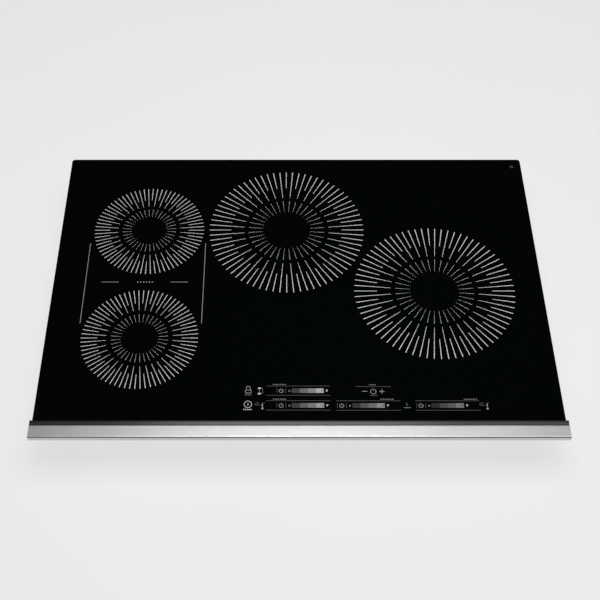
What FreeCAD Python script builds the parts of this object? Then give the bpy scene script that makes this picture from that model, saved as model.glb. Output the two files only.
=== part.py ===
import FreeCAD, Part
import math
import os
from types import SimpleNamespace

import Sketcher

# Electric induction cooktop of the 30 inch class, as an assembly of separate pieces.
# Millimetres. +X is the user's right, -Y is towards the user and +Z is up. The origin is
# the middle of the footprint, on the plane that the burner box stands on.

UP = FreeCAD.Vector(0, 0, 1)
ACROSS = FreeCAD.Vector(1, 0, 0)
SIDES = (("left", -1), ("right", 1))

# Driving dimensions. Each is set by itself; everything else is worked out from them.
SIZES = (
    # Outline and the stack from the worktop up to the glass.
    ("width", 778),
    ("depth", 537),
    ("worktop_level", 81),
    ("wall", 1),
    ("glass_thick", 4),
    ("glass_inset", 3.5),
    ("glass_corner", 5),
    ("glass_bevel", 0.8),
    ("bead_thick", 3),
    ("bead_width", 8),
    ("gasket_thick", 3),
    ("gasket_width", 7),
    ("flange_inset", 5),
    ("edge_inset", 1),
    ("side_overhang", 30),
    ("front_overhang", 43),
    ("rear_overhang", 14),
    # Front trim and the seal between it and the glass.
    ("trim_deck", 20.2),
    ("trim_wall", 1.2),
    ("trim_round", 1.6),
    ("trim_lift", 0.5),
    ("seal_cover", 8.3),
    ("seal_lap", 4),
    ("seal_lip", 0.6),
    # Cooking zones: places, coil sizes and the layers under the glass.
    ("left_zone_x", -241.5),
    ("left_rear_y", 112),
    ("left_front_y", -98.5),
    ("centre_zone_x", -17),
    ("centre_rear_y", 112.5),
    ("right_zone_x", 215),
    ("right_front_y", -10.5),
    ("small_coil", 85),
    ("large_coil", 115),
    ("coil_hole", 20),
    ("coil_clear", 0.3),
    ("mica_thick", 0.5),
    ("mica_hole", 14),
    ("winding_thick", 5),
    ("groove_width", 0.8),
    ("groove_deep", 3.5),
    ("carrier_thick", 4),
    ("carrier_rim", 1),
    ("ear_reach", 7),
    ("ear_radius", 8),
    ("ferrite_thick", 5),
    ("ferrite_width", 9),
    ("ferrite_inset", 5),
    ("sensor_radius", 8),
    ("spring_gap", 12),
    ("spring_radius", 4.2),
    ("spring_wire", 0.6),
    ("spring_pitch", 2.6),
    ("spring_seat", 0.3),
    ("guide_radius", 2.5),
    ("guide_clear", 0.3),
    ("guide_proud", 1),
    # Tray that carries the coils, and its posts.
    ("tray_thick", 1.5),
    ("tray_gap", 4),
    ("tray_slot", 40),
    ("tray_slot_width", 14),
    ("post_radius", 5),
    ("post_inset", 12),
    # Power boards with their parts, and the filter board between them.
    ("board_thick", 1.6),
    ("board_lift", 8),
    ("board_width", 210),
    ("board_depth", 240),
    ("board_gap", 20),
    ("board_front_gap", 35),
    ("board_post", 3),
    ("board_post_inset", 8),
    ("sink_width", 90),
    ("sink_length", 160),
    ("sink_height", 38),
    ("sink_base", 5),
    ("sink_inset", 15),
    ("fin_thick", 2.5),
    ("chip_thick", 5),
    ("chip_width", 16),
    ("chip_height", 20),
    ("chip_lift", 2),
    ("film_cap_length", 32),
    ("film_cap_width", 24),
    ("film_cap_height", 34),
    ("can_radius", 11),
    ("can_height", 36),
    ("part_inset", 20),
    ("choke_radius", 18),
    ("choke_hole", 8),
    ("choke_height", 15),
    ("filter_width", 180),
    ("filter_depth", 150),
    ("filter_front", -40),
    # Blowers.
    ("fan_x", 225),
    ("fan_y", 150),
    ("fan_height", 34),
    ("fan_wall", 2),
    ("fan_wheel", 42),
    ("fan_gap", 6),
    ("fan_outlet", 62),
    ("fan_spout", 30),
    ("fan_intake", 32),
    ("fan_floor_gap", 3),
    ("fan_roof_gap", 2.5),
    ("blade_length", 8),
    ("blade_thick", 1.2),
    ("cup_radius", 20),
    ("cup_lift", 6),
    ("stator_radius", 14),
    ("axle_radius", 2),
    ("axle_clear", 0.05),
    ("guard_thick", 1.5),
    ("guard_radius", 44),
    ("guard_bar", 3),
    ("intake_radius", 36),
    # Controls under the glass.
    ("control_left", -95),
    ("control_right", 290),
    ("control_front_gap", 2),
    ("control_depth", 50),
    ("control_wall", 2),
    ("touch_gap", 0.3),
    # Supply connection at the rear.
    ("junction_width", 120),
    ("junction_depth", 70),
    ("junction_height", 51),
    ("junction_slot", 56),
    ("junction_slot_height", 21),
    ("terminal_width", 60),
    ("terminal_depth", 24),
    ("terminal_height", 24),
    ("terminal_setback", 24),
    ("terminal_pocket", 9),
    ("terminal_pocket_deep", 12),
    ("bushing_level", 30),
    ("bushing_bore", 8),
    ("bushing_neck", 11),
    ("bushing_flange", 15),
    ("bushing_flange_thick", 3),
    ("bushing_proud", 12),
    ("bushing_inside", 8),
    ("bushing_clear", 0.3),
    ("lead_radius", 1.8),
    ("lead_pitch", 15),
    # Hold-down clamps on the two sides of the box.
    ("clamp_y", 40),
    ("bracket_thick", 2),
    ("bracket_width", 40),
    ("bracket_low", 8),
    ("bracket_high", 40),
    ("arm_low", 14),
    ("arm_thick", 3),
    ("arm_width", 24),
    ("arm_reach", 24),
    ("clamp_reach", 15),
    ("clamp_low", 1.5),
    ("clamp_length", 38),
    ("clamp_radius", 3),
    ("clamp_clear", 0.06),
    ("clamp_tip", 2),
    ("clamp_tip_length", 2.5),
    ("clamp_slot", 1.2),
    ("pad_radius", 8),
    ("pad_thick", 4),
    ("pad_gap", 0.1),
    ("screw_head", 4),
    ("screw_head_thick", 2.5),
    ("screw_shank", 2),
    ("screw_length", 6),
    ("screw_clear", 0.2),
    ("screw_spread", 28),
    ("screw_level", 32),
    # Vent slots in the box.
    ("slot_width", 4),
    ("slot_pitch", 12),
    ("slot_low", 20),
    ("slot_high", 56),
    ("rear_slot_start", 130),
    ("side_slot_start", 25),
)
REAR_SLOTS = 17
SIDE_SLOTS = 7
EAR_ANGLES = (30, 150, 270)
FIN_COUNT = 9
BLADE_COUNT = 24
CHIP_COUNT = 4
CAN_COUNT = 3
TERMINAL_COUNT = 4

doc = FreeCAD.newDocument("induction_cooktop")
sheet = doc.addObject("Spreadsheet::Sheet", "Sizes")


class Size:
    """A length that carries its number and the sheet formula that gives it."""

    def __init__(self, number, formula):
        self.number = number
        self.formula = formula

    def __add__(self, other):
        other = sized(other)
        return Size(self.number + other.number, f"({self.formula} + {other.formula})")

    def __sub__(self, other):
        other = sized(other)
        return Size(self.number - other.number, f"({self.formula} - {other.formula})")

    def __mul__(self, factor):
        return Size(self.number * factor, f"({self.formula} * ({factor:.9f}))")

    def __truediv__(self, divisor):
        return self * (1 / divisor)

    def __neg__(self):
        return self * -1


def sized(value):
    """Gives a plain number the same form as a length from the sheet."""
    if isinstance(value, Size):
        return value
    return Size(float(value), f"({float(value):.9f})")


def sheet_sizes():
    """Fills the sheet and returns its cells by name."""
    cells = {}
    for row, (name, number) in enumerate(SIZES, 1):
        sheet.set(f"A{row}", name)
        sheet.set(f"B{row}", str(number))
        sheet.setAlias(f"B{row}", name)
        cells[name] = Size(float(number), f"Sizes.{name}")
    doc.recompute()
    return SimpleNamespace(**cells)


def bind(piece, name, value):
    """Sets a property to a length and ties it to the sheet."""
    value = sized(value)
    setattr(piece, name, value.number)
    piece.setExpression(name, value.formula)


def place(piece, spot, turn=0, axis=UP):
    """Puts a piece at a spot, turned by some degrees about an axis."""
    spot = [sized(value) for value in spot]
    base = FreeCAD.Vector(*[value.number for value in spot])
    piece.Placement = FreeCAD.Placement(base, FreeCAD.Rotation(axis, turn))
    for letter, value in zip("xyz", spot):
        piece.setExpression(f"Placement.Base.{letter}", value.formula)
    return piece


def slab(label, across, along, upward):
    """A box between three pairs of limits."""
    piece = doc.addObject("Part::Box", label)
    piece.Label = label
    for name, (low, high) in zip(("Length", "Width", "Height"), (across, along, upward)):
        bind(piece, name, sized(high) - low)
    return place(piece, (across[0], along[0], upward[0]))


def rod(label, spot, radius, height, turn=0, axis=ACROSS):
    """A cylinder that starts at a spot and runs up, or along another direction when turned."""
    piece = doc.addObject("Part::Cylinder", label)
    piece.Label = label
    bind(piece, "Radius", radius)
    bind(piece, "Height", height)
    return place(piece, spot, turn, axis)


def cut(label, base, *tools):
    """The base with each tool taken away."""
    tool = tools[0] if len(tools) == 1 else group(label + "_cuts", *tools)
    piece = doc.addObject("Part::Cut", label)
    piece.Label = label
    piece.Base = base
    piece.Tool = tool
    return piece


def fuse(label, *parts):
    """One solid made of several that touch."""
    piece = doc.addObject("Part::MultiFuse", label)
    piece.Label = label
    piece.Shapes = list(parts)
    piece.Refine = True
    return piece


def group(label, *parts):
    """Separate solids that share one node."""
    piece = doc.addObject("Part::Compound", label)
    piece.Label = label
    piece.Links = list(parts)
    return piece


def ring(label, spot, outer, inner, height):
    """A flat ring that starts at a spot and stands on it."""
    x, y, z = spot
    whole = rod(label + "_blank", spot, outer, height)
    hole = rod(label + "_hole", (x, y, sized(z) - 1), inner, sized(height) + 2)
    return cut(label, whole, hole)


def new_body(label):
    body = doc.addObject("PartDesign::Body", label)
    body.Label = label
    return body


def new_sketch(body, name, plane, lift=0):
    """A sketch on one of the body's own origin planes, lifted along the plane's normal."""
    flat = body.newObject("Sketcher::SketchObject", name)
    support = [item for item in body.Origin.OriginFeatures if item.Role == plane][0]
    flat.AttachmentSupport = [(support, "")]
    flat.MapMode = "FlatFace"
    lift = sized(lift)
    flat.AttachmentOffset = FreeCAD.Placement(FreeCAD.Vector(0, 0, lift.number), FreeCAD.Rotation())
    flat.setExpression("AttachmentOffset.Base.z", lift.formula)
    return flat


def draw_outline(flat, points):
    """A closed outline of straight lines whose corners are held at their own coordinates."""
    corners = [(sized(x), sized(y)) for x, y in points]
    vectors = [FreeCAD.Vector(x.number, y.number, 0) for x, y in corners]
    lines = [Part.LineSegment(a, b) for a, b in zip(vectors, vectors[1:] + vectors[:1])]
    first = flat.addGeometry(lines, False)[0]
    count = len(lines)
    for index, (x, y) in enumerate(corners):
        line = first + index
        following = first + (index + 1) % count
        flat.addConstraint(Sketcher.Constraint("Coincident", line, 2, following, 1))
        held_x = flat.addConstraint(Sketcher.Constraint("DistanceX", line, 1, x.number))
        flat.setExpression(f"Constraints[{held_x}]", x.formula)
        held_y = flat.addConstraint(Sketcher.Constraint("DistanceY", line, 1, y.number))
        flat.setExpression(f"Constraints[{held_y}]", y.formula)


def draw_rectangle(flat, across, along):
    draw_outline(flat, ((across[0], along[0]), (across[1], along[0]),
                        (across[1], along[1]), (across[0], along[1])))


def pad(body, name, flat, length, symmetric=False):
    feature = body.newObject("PartDesign::Pad", name)
    feature.Profile = flat
    bind(feature, "Length", length)
    if symmetric:
        feature.SideType = "Symmetric"
    return feature


def pocket(body, name, flat, length, symmetric=False, towards_normal=False):
    feature = body.newObject("PartDesign::Pocket", name)
    feature.Profile = flat
    bind(feature, "Length", length)
    feature.Reversed = towards_normal
    if symmetric:
        feature.SideType = "Symmetric"
    return feature


def revolve(body, name, flat):
    """A full turn about the sketch's own upright axis."""
    feature = body.newObject("PartDesign::Revolution", name)
    feature.Profile = flat
    feature.ReferenceAxis = (flat, ["V_Axis"])
    feature.Angle = 360
    return feature


def soften(body, kind, name, feature, chosen, amount):
    """A fillet or a chamfer on the edges of a feature that pass a test."""
    doc.recompute()
    edges = feature.Shape.Edges
    names = [f"Edge{number}" for number, edge in enumerate(edges, 1) if chosen(edge)]
    finish = body.newObject("PartDesign::" + kind, name)
    finish.Base = (feature, names)
    bind(finish, "Radius" if kind == "Fillet" else "Size", amount)
    return finish


def runs_along(edge, direction):
    """Whether an edge is straight and parallel to a direction."""
    if not isinstance(edge.Curve, Part.Line):
        return False
    return edge.Curve.Direction.cross(direction).Length < 1e-6


size = sheet_sizes()

# Levels and limits that the pieces share.
half_width = size.width / 2
front = size.depth / -2
back = size.depth / 2
flange_low = size.worktop_level + size.gasket_thick
flange_top = flange_low + size.wall
glass_low = flange_top + size.bead_thick
glass_top = glass_low + size.glass_thick
trim_top = glass_top + size.seal_lip
trim_low = size.worktop_level + size.trim_lift
glass_half = half_width - size.glass_inset
seal_front = front + size.trim_deck
seal_back = seal_front + size.seal_cover
glass_front = seal_back - size.seal_lap
box_half = glass_half - size.side_overhang
box_front = front + size.front_overhang
box_back = back - size.rear_overhang
inner_half = box_half - size.wall
inner_front = box_front + size.wall
inner_back = box_back - size.wall
flange_half = glass_half - size.flange_inset
flange_front = front + size.flange_inset
flange_back = back - size.flange_inset


def glass_panel():
    """Black ceramic glass with rounded corners and a ground upper edge."""
    body = new_body("glass_top")
    flat = new_sketch(body, "glass_outline", "XY_Plane", glass_low)
    draw_rectangle(flat, (-glass_half, glass_half), (glass_front, back))
    plate = pad(body, "glass_plate", flat, size.glass_thick)
    rounded = soften(body, "Fillet", "glass_corners", plate,
                     lambda edge: runs_along(edge, UP), size.glass_corner)
    level = glass_top.number
    soften(body, "Chamfer", "glass_bevel", rounded,
           lambda edge: abs(edge.BoundBox.ZMin - level) < 1e-6 and edge.BoundBox.ZLength < 1e-6,
           size.glass_bevel)


def front_trim():
    """Folded stainless trim: a flat deck, a rounded front edge, a front face and two ends."""
    body = new_body("front_trim")
    outside = new_sketch(body, "trim_outline", "YZ_Plane")
    draw_rectangle(outside, (front, seal_front), (trim_low, trim_top))
    block = pad(body, "trim_block", outside, size.width, symmetric=True)
    height = trim_top.number
    edge_y = front.number
    soften(body, "Fillet", "trim_front_edge", block,
           lambda edge: (runs_along(edge, ACROSS)
                         and abs(edge.BoundBox.ZMin - height) < 1e-6
                         and abs(edge.BoundBox.YMin - edge_y) < 1e-6),
           size.trim_round)
    inside = new_sketch(body, "trim_hollow", "YZ_Plane")
    leg = seal_front - size.trim_wall
    face = front + size.trim_wall
    deck = trim_top - size.trim_wall
    below = trim_low - 1
    behind = seal_front + 1
    draw_outline(inside, ((face, below), (behind, below), (behind, flange_top),
                          (leg, flange_top), (leg, deck), (face, deck)))
    pocket(body, "trim_hollow_cut", inside, size.width - size.trim_wall * 2, symmetric=True)


def trim_seal():
    """Black moulded strip that fills the joint and laps over the front edge of the glass."""
    body = new_body("trim_seal")
    flat = new_sketch(body, "seal_profile", "YZ_Plane")
    draw_outline(flat, ((seal_front, flange_top), (glass_front, flange_top), (glass_front, glass_top),
                        (seal_back, glass_top), (seal_back, trim_top), (seal_front, trim_top)))
    pad(body, "seal_strip", flat, size.width, symmetric=True)


def frame_strip(label, half, near, far, breadth, low, thick):
    """A rectangular loop of even breadth, for the bead and the gasket."""
    body = new_body(label)
    flat = new_sketch(body, label + "_outline", "XY_Plane", low)
    draw_rectangle(flat, (-half, half), (near, far))
    draw_rectangle(flat, (breadth - half, half - breadth), (near + breadth, far - breadth))
    pad(body, label + "_strip", flat, thick)


def burner_box():
    """Folded steel pan with an outward flange, vents and the holes of what is fixed to it."""
    body = new_body("burner_pan")
    outside = new_sketch(body, "pan_outline", "XY_Plane")
    draw_rectangle(outside, (-box_half, box_half), (box_front, box_back))
    pad(body, "pan_block", outside, flange_top)
    rim = new_sketch(body, "flange_outline", "XY_Plane", flange_low)
    draw_rectangle(rim, (-flange_half, flange_half), (flange_front, flange_back))
    pad(body, "flange", rim, size.wall)
    inside = new_sketch(body, "pan_hollow", "XY_Plane", size.wall)
    draw_rectangle(inside, (-inner_half, inner_half), (inner_front, inner_back))
    pocket(body, "pan_hollow_cut", inside, flange_top, towards_normal=True)
    openings = []
    for side, sign in SIDES:
        openings.append(rod(f"intake_{side}", (size.fan_x * sign, size.fan_y, -1),
                            size.intake_radius, size.wall + 2))
        for number in range(REAR_SLOTS):
            middle = (size.rear_slot_start + size.slot_pitch * number) * sign
            openings.append(slab(f"rear_slot_{side}_{number}",
                                 (middle - size.slot_width / 2, middle + size.slot_width / 2),
                                 (inner_back - 1, box_back + 1), (size.slot_low, size.slot_high)))
        limits = sorted(((box_half + 1) * sign, (inner_half - 1) * sign), key=lambda value: value.number)
        for number in range(SIDE_SLOTS):
            middle = box_front + size.side_slot_start + size.slot_pitch * number
            openings.append(slab(f"side_slot_{side}_{number}", limits,
                                 (middle - size.slot_width / 2, middle + size.slot_width / 2),
                                 (size.slot_low, size.slot_high)))
        for x, y, z in bracket_screw_spots(sign, inner_half - 1):
            openings.append(rod(f"bracket_hole_{side}_{y.number:.0f}", (x, y, z),
                                size.screw_shank + size.screw_clear, size.wall + 2,
                                90 * sign, FreeCAD.Vector(0, 1, 0)))
    openings.append(rod("bushing_hole", (0, inner_back - 1, size.bushing_level),
                        size.bushing_neck + size.bushing_clear, size.wall + 2, -90))
    cut("burner_box", body, *openings)


def bracket_screw_spots(sign, distance):
    """Where the two screws of one bracket cross the plane at a distance from the middle."""
    for way in (-1, 1):
        yield distance * sign, size.clamp_y + size.screw_spread / 2 * way, size.screw_level


def coil_layers():
    """Levels of the parts of a coil unit, from the glass down."""
    mica_low = glass_low - size.coil_clear - size.mica_thick
    winding_low = mica_low - size.winding_thick
    carrier_low = winding_low - size.carrier_thick
    tray_level = carrier_low - size.spring_gap
    return SimpleNamespace(mica=mica_low, winding=winding_low, carrier=carrier_low,
                           ferrite=carrier_low - size.ferrite_thick, tray=tray_level)


layer = coil_layers()
tray_low = layer.tray - size.tray_thick
ZONES = (
    ("left_rear", size.left_zone_x, size.left_rear_y, size.small_coil, 9, 6),
    ("left_front", size.left_zone_x, size.left_front_y, size.small_coil, 9, 6),
    ("centre_rear", size.centre_zone_x, size.centre_rear_y, size.large_coil, 12, 8),
    ("right_front", size.right_zone_x, size.right_front_y, size.large_coil, 12, 8),
)


def around(x, y, radius, angle):
    """A point at a radius and an angle in degrees about a centre."""
    turn = math.radians(angle)
    return x + radius * math.cos(turn), y + radius * math.sin(turn)


def ear_spots(x, y, radius):
    return [around(x, y, radius + size.ear_reach, angle) for angle in EAR_ANGLES]


def winding(name, x, y, radius, turns):
    """Flat spiral of litz wire, drawn as one annulus with a groove between every two turns."""
    body = new_body("coil_winding_" + name)
    flat = new_sketch(body, "winding_profile_" + name, "XZ_Plane")
    pitch = (radius - size.coil_hole) / turns
    top = size.winding_thick
    dip = size.winding_thick - size.groove_deep
    points = [(size.coil_hole, 0), (radius, 0), (radius, top)]
    for number in range(turns - 1, 0, -1):
        middle = size.coil_hole + pitch * number
        near = middle - size.groove_width / 2
        far = middle + size.groove_width / 2
        points += [(far, top), (far, dip), (near, dip), (near, top)]
    points.append((size.coil_hole, top))
    draw_outline(flat, points)
    revolve(body, "winding_turns_" + name, flat)
    place(body, (x, y, layer.winding))


def coil_unit(name, x, y, radius, turns, bars):
    """One floating coil: carrier on three springs, ferrites, winding, mica and heat sensor."""
    ears = ear_spots(x, y, radius)
    plate = [rod(f"carrier_disc_{name}", (x, y, layer.carrier), radius + size.carrier_rim,
                 size.carrier_thick)]
    holes = []
    springs = []
    for number, (ear_x, ear_y) in enumerate(ears):
        plate.append(rod(f"ear_{name}_{number}", (ear_x, ear_y, layer.carrier), size.ear_radius,
                         size.carrier_thick))
        holes.append(rod(f"ear_hole_{name}_{number}", (ear_x, ear_y, layer.carrier - 1),
                         size.guide_radius + size.guide_clear, size.carrier_thick + 2))
        springs.append(spring(f"spring_{name}_{number}", ear_x, ear_y))
    cut("coil_carrier_" + name, fuse("carrier_plate_" + name, *plate), *holes)
    group("carrier_springs_" + name, *springs)
    winding(name, x, y, radius, turns)
    ring("mica_sheet_" + name, (x, y, layer.mica), radius, size.mica_hole, size.mica_thick)
    rod("heat_sensor_" + name, (x, y, layer.winding), size.sensor_radius,
        size.winding_thick + size.mica_thick)
    ferrites = []
    start = size.coil_hole + size.ferrite_inset
    length = radius - size.ferrite_inset - start
    for number in range(bars):
        angle = 360 / bars * number
        turn = math.radians(angle)
        corner_x = x + start * math.cos(turn) + size.ferrite_width / 2 * math.sin(turn)
        corner_y = y + start * math.sin(turn) - size.ferrite_width / 2 * math.cos(turn)
        bar = slab(f"ferrite_{name}_{number}", (0, length), (0, size.ferrite_width),
                   (0, size.ferrite_thick))
        ferrites.append(place(bar, (corner_x, corner_y, layer.ferrite), angle))
    group("ferrite_bars_" + name, *ferrites)


QUARTER_TURN = 0.25
WIRE_FLATS = 12


def spring(label, x, y):
    """Wire of many narrow flats, wound about a guide post, with a small gap to each seat."""
    helix = doc.addObject("Part::Helix", label + "_line")
    bind(helix, "Pitch", size.spring_pitch)
    bind(helix, "Height", size.spring_gap - size.spring_seat * 2 - size.spring_wire * 2)
    bind(helix, "Radius", size.spring_radius)
    helix.SegmentLength = QUARTER_TURN
    doc.recompute()
    section = doc.addObject("Part::RegularPolygon", label + "_wire")
    section.Polygon = WIRE_FLATS
    bind(section, "Circumradius", size.spring_wire)
    place(section, (size.spring_radius, 0, 0), 90, ACROSS)
    coil = doc.addObject("Part::Sweep", label)
    coil.Sections = [section]
    coil.Spine = (helix, [f"Edge{number + 1}" for number in range(len(helix.Shape.Edges))])
    coil.Solid = True
    coil.Frenet = True
    return place(coil, (x, y, layer.tray + size.spring_seat + size.spring_wire))


def tray_and_posts():
    """Aluminium tray that carries the coils, its posts and the guide posts of the springs."""
    half = inner_half - size.tray_gap
    plate = slab("tray_plate", (-half, half), (inner_front + size.tray_gap, inner_back - size.tray_gap),
                 (tray_low, layer.tray))
    slots = []
    guides = []
    for name, x, y, radius, _, _ in ZONES:
        slots.append(slab(f"tray_slot_{name}", (x - size.tray_slot / 2, x + size.tray_slot / 2),
                          (y - size.tray_slot_width / 2, y + size.tray_slot_width / 2),
                          (tray_low - 1, layer.tray + 1)))
        for number, (ear_x, ear_y) in enumerate(ear_spots(x, y, radius)):
            guides.append(rod(f"guide_{name}_{number}", (ear_x, ear_y, layer.tray), size.guide_radius,
                              layer.winding - layer.tray + size.guide_proud))
    cut("coil_tray", plate, *slots)
    group("spring_posts", *guides)
    posts = []
    rows = (inner_front + size.post_inset, (inner_front + inner_back) / 2, inner_back - size.post_inset)
    for side, sign in SIDES:
        for number, y in enumerate(rows):
            posts.append(rod(f"post_{side}_{number}", ((inner_half - size.post_inset) * sign, y, size.wall),
                             size.post_radius, tray_low - size.wall))
    group("tray_posts", *posts)


def spread(first, last, count):
    """Even steps between two lengths, both ends included."""
    return [first + (last - first) * (number / (count - 1)) for number in range(count)]


def mirrored(sign, near, far):
    """Limits across the width, given outwards from the middle, for one side."""
    return (near, far) if sign > 0 else (-far, -near)


board_low = size.wall + size.board_lift
board_top = board_low + size.board_thick


def board_supports(label, across, along):
    """Four posts under the corners of a board."""
    inset = size.board_post_inset
    spots = [(x, y) for x in (across[0] + inset, across[1] - inset)
             for y in (along[0] + inset, along[1] - inset)]
    return [rod(f"{label}_{number}", (x, y, size.wall), size.board_post, size.board_lift)
            for number, (x, y) in enumerate(spots)]


def power_electronics():
    """Two power boards with heat sinks, transistors, capacitors and chokes, and a filter board."""
    supports = []
    sinks = []
    chips = []
    capacitors = []
    chokes = []
    board_front = inner_front + size.board_front_gap
    board_back = board_front + size.board_depth
    outer = inner_half - size.board_gap
    inner = outer - size.board_width
    sink_inner = inner + (size.board_width - size.sink_width) / 2
    sink_outer = sink_inner + size.sink_width
    sink_back = board_back - size.sink_inset
    sink_front = sink_back - size.sink_length
    sink_top = board_top + size.sink_height
    gap = (size.sink_width - size.fin_thick * FIN_COUNT) / (FIN_COUNT - 1)
    for side, sign in SIDES:
        across = mirrored(sign, inner, outer)
        slab("power_board_" + side, across, (board_front, board_back), (board_low, board_top))
        supports += board_supports("power_post_" + side, across, (board_front, board_back))
        block = slab("sink_block_" + side, mirrored(sign, sink_inner, sink_outer),
                     (sink_front, sink_back), (board_top, sink_top))
        channels = []
        for number in range(FIN_COUNT - 1):
            start = sink_inner + size.fin_thick + (gap + size.fin_thick) * number
            channels.append(slab(f"sink_channel_{side}_{number}", mirrored(sign, start, start + gap),
                                 (sink_front - 1, sink_back + 1),
                                 (board_top + size.sink_base, sink_top + 1)))
        sinks.append(cut("sink_" + side, block, *channels))
        for number, y in enumerate(spread(sink_front + size.sink_inset, sink_back - size.sink_inset,
                                          CHIP_COUNT)):
            chips.append(slab(f"chip_{side}_{number}",
                              mirrored(sign, sink_outer, sink_outer + size.chip_thick),
                              (y - size.chip_width / 2, y + size.chip_width / 2),
                              (board_top + size.chip_lift, board_top + size.chip_lift + size.chip_height)))
        rows = spread(board_front + size.part_inset, board_back - size.part_inset * 3, CAN_COUNT)
        for number, y in enumerate(rows):
            cap_outer = outer - size.board_post_inset * 2
            capacitors.append(slab(f"film_capacitor_{side}_{number}",
                                   mirrored(sign, cap_outer - size.film_cap_width, cap_outer),
                                   (y, y + size.film_cap_length),
                                   (board_top, board_top + size.film_cap_height)))
            capacitors.append(rod(f"can_{side}_{number}",
                                  ((inner + size.part_inset) * sign, y, board_top),
                                  size.can_radius, size.can_height))
        chokes.append(ring("power_choke_" + side,
                           ((inner + size.part_inset * 2) * sign, board_back - size.part_inset, board_top),
                           size.choke_radius, size.choke_hole, size.choke_height))
    across = (size.filter_width / -2, size.filter_width / 2)
    filter_back = size.filter_front + size.filter_depth
    slab("filter_board", across, (size.filter_front, filter_back), (board_low, board_top))
    supports += board_supports("filter_post", across, (size.filter_front, filter_back))
    for side, sign in SIDES:
        chokes.append(ring("filter_choke_" + side,
                           (size.filter_width / 4 * sign, size.filter_front + size.filter_depth / 2,
                            board_top),
                           size.choke_radius, size.choke_hole, size.choke_height))
    group("board_posts", *supports)
    group("heat_sinks", *sinks)
    group("power_transistors", *chips)
    group("board_capacitors", *capacitors)
    group("board_chokes", *chokes)


fan_low = size.wall + size.guard_thick
fan_high = fan_low + size.fan_height
wheel_low = size.fan_wall + size.fan_floor_gap
wheel_top = size.fan_height - size.fan_wall - size.fan_roof_gap
cup_low = wheel_low + size.cup_lift


def fan_housing(side, sign):
    """Blower shell: a round chamber with a spout towards the heat sink and a round inlet below."""
    x = size.fan_x * sign
    y = size.fan_y
    outer = size.fan_wheel + size.fan_gap + size.fan_wall
    inner = outer - size.fan_wall
    near = x - outer
    far = near + size.fan_outlet
    mouth = y - outer - size.fan_spout
    shell = fuse("fan_shell_" + side,
                 rod("fan_drum_" + side, (x, y, fan_low), outer, size.fan_height),
                 slab("fan_spout_" + side, (near, far), (mouth, y), (fan_low, fan_high)))
    low = fan_low + size.fan_wall
    high = fan_high - size.fan_wall
    hollow = fuse("fan_hollow_" + side,
                  rod("fan_drum_hollow_" + side, (x, y, low), inner, high - low),
                  slab("fan_spout_hollow_" + side, (near + size.fan_wall, far - size.fan_wall),
                       (mouth - 1, y), (low, high)),
                  rod("fan_inlet_" + side, (x, y, fan_low - 1), size.fan_intake, size.fan_wall + 2))
    cut("fan_housing_" + side, shell, hollow)


def fan_rotor(side, sign):
    """Blower wheel: a cup with a bored floor, a back plate and a ring of blades."""
    body = new_body("fan_rotor_" + side)
    flat = new_sketch(body, "rotor_profile_" + side, "XZ_Plane")
    bore = size.axle_radius + size.axle_clear
    thick = size.fan_wall
    plate_low = wheel_top - thick
    draw_outline(flat, ((bore, cup_low), (size.cup_radius, cup_low), (size.cup_radius, plate_low),
                        (size.fan_wheel, plate_low), (size.fan_wheel, wheel_top),
                        (size.cup_radius - thick, wheel_top), (size.cup_radius - thick, cup_low + thick),
                        (bore, cup_low + thick)))
    revolve(body, "rotor_cup_" + side, flat)
    root = new_sketch(body, "blade_outline_" + side, "XY_Plane", wheel_low)
    draw_rectangle(root, (size.fan_wheel - size.blade_length, size.fan_wheel - size.edge_inset),
                   (size.blade_thick / -2, size.blade_thick / 2))
    blade = pad(body, "blade_" + side, root, plate_low - wheel_low + thick / 2)
    doc.recompute()
    blades = body.newObject("PartDesign::PolarPattern", "blades_" + side)
    blades.Originals = [blade]
    blades.Axis = (root, ["N_Axis"])
    blades.Angle = 360
    blades.Occurrences = BLADE_COUNT
    body.Tip = blades
    place(body, (size.fan_x * sign, size.fan_y, fan_low))


def fans():
    """The two blowers with their motors, and the finger guards over the floor inlets."""
    motors = []
    guards = []
    for side, sign in SIDES:
        fan_housing(side, sign)
        fan_rotor(side, sign)
        x = size.fan_x * sign
        y = size.fan_y
        stator_low = fan_low + cup_low + size.fan_wall * 2
        axle_low = fan_low + cup_low - size.fan_wall
        motors.append(fuse("motor_" + side,
                           rod("stator_" + side, (x, y, stator_low), size.stator_radius,
                               fan_high - size.fan_wall - stator_low),
                           rod("axle_" + side, (x, y, axle_low), size.axle_radius,
                               stator_low - axle_low + 1)))
        step = size.guard_bar * 2
        rings = [ring(f"guard_gap_{side}_{number}", (x, y, size.wall - 1),
                      size.guard_bar * (3 * number) + step * 1.5, size.guard_bar * (3 * number) + step / 2,
                      size.guard_thick + 2) for number in range(3)]
        plate = cut("guard_plate_" + side,
                    rod("guard_disc_" + side, (x, y, size.wall), size.guard_radius, size.guard_thick),
                    *rings)
        reach = size.intake_radius
        half = size.guard_bar / 2
        levels = (size.wall, size.wall + size.guard_thick)
        guards.append(fuse("guard_" + side, plate,
                           slab("guard_bar_x_" + side, (x - reach, x + reach), (y - half, y + half), levels),
                           slab("guard_bar_y_" + side, (x - half, x + half), (y - reach, y + reach), levels)))
    group("fan_motors", *motors)
    group("intake_guards", *guards)


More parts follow.
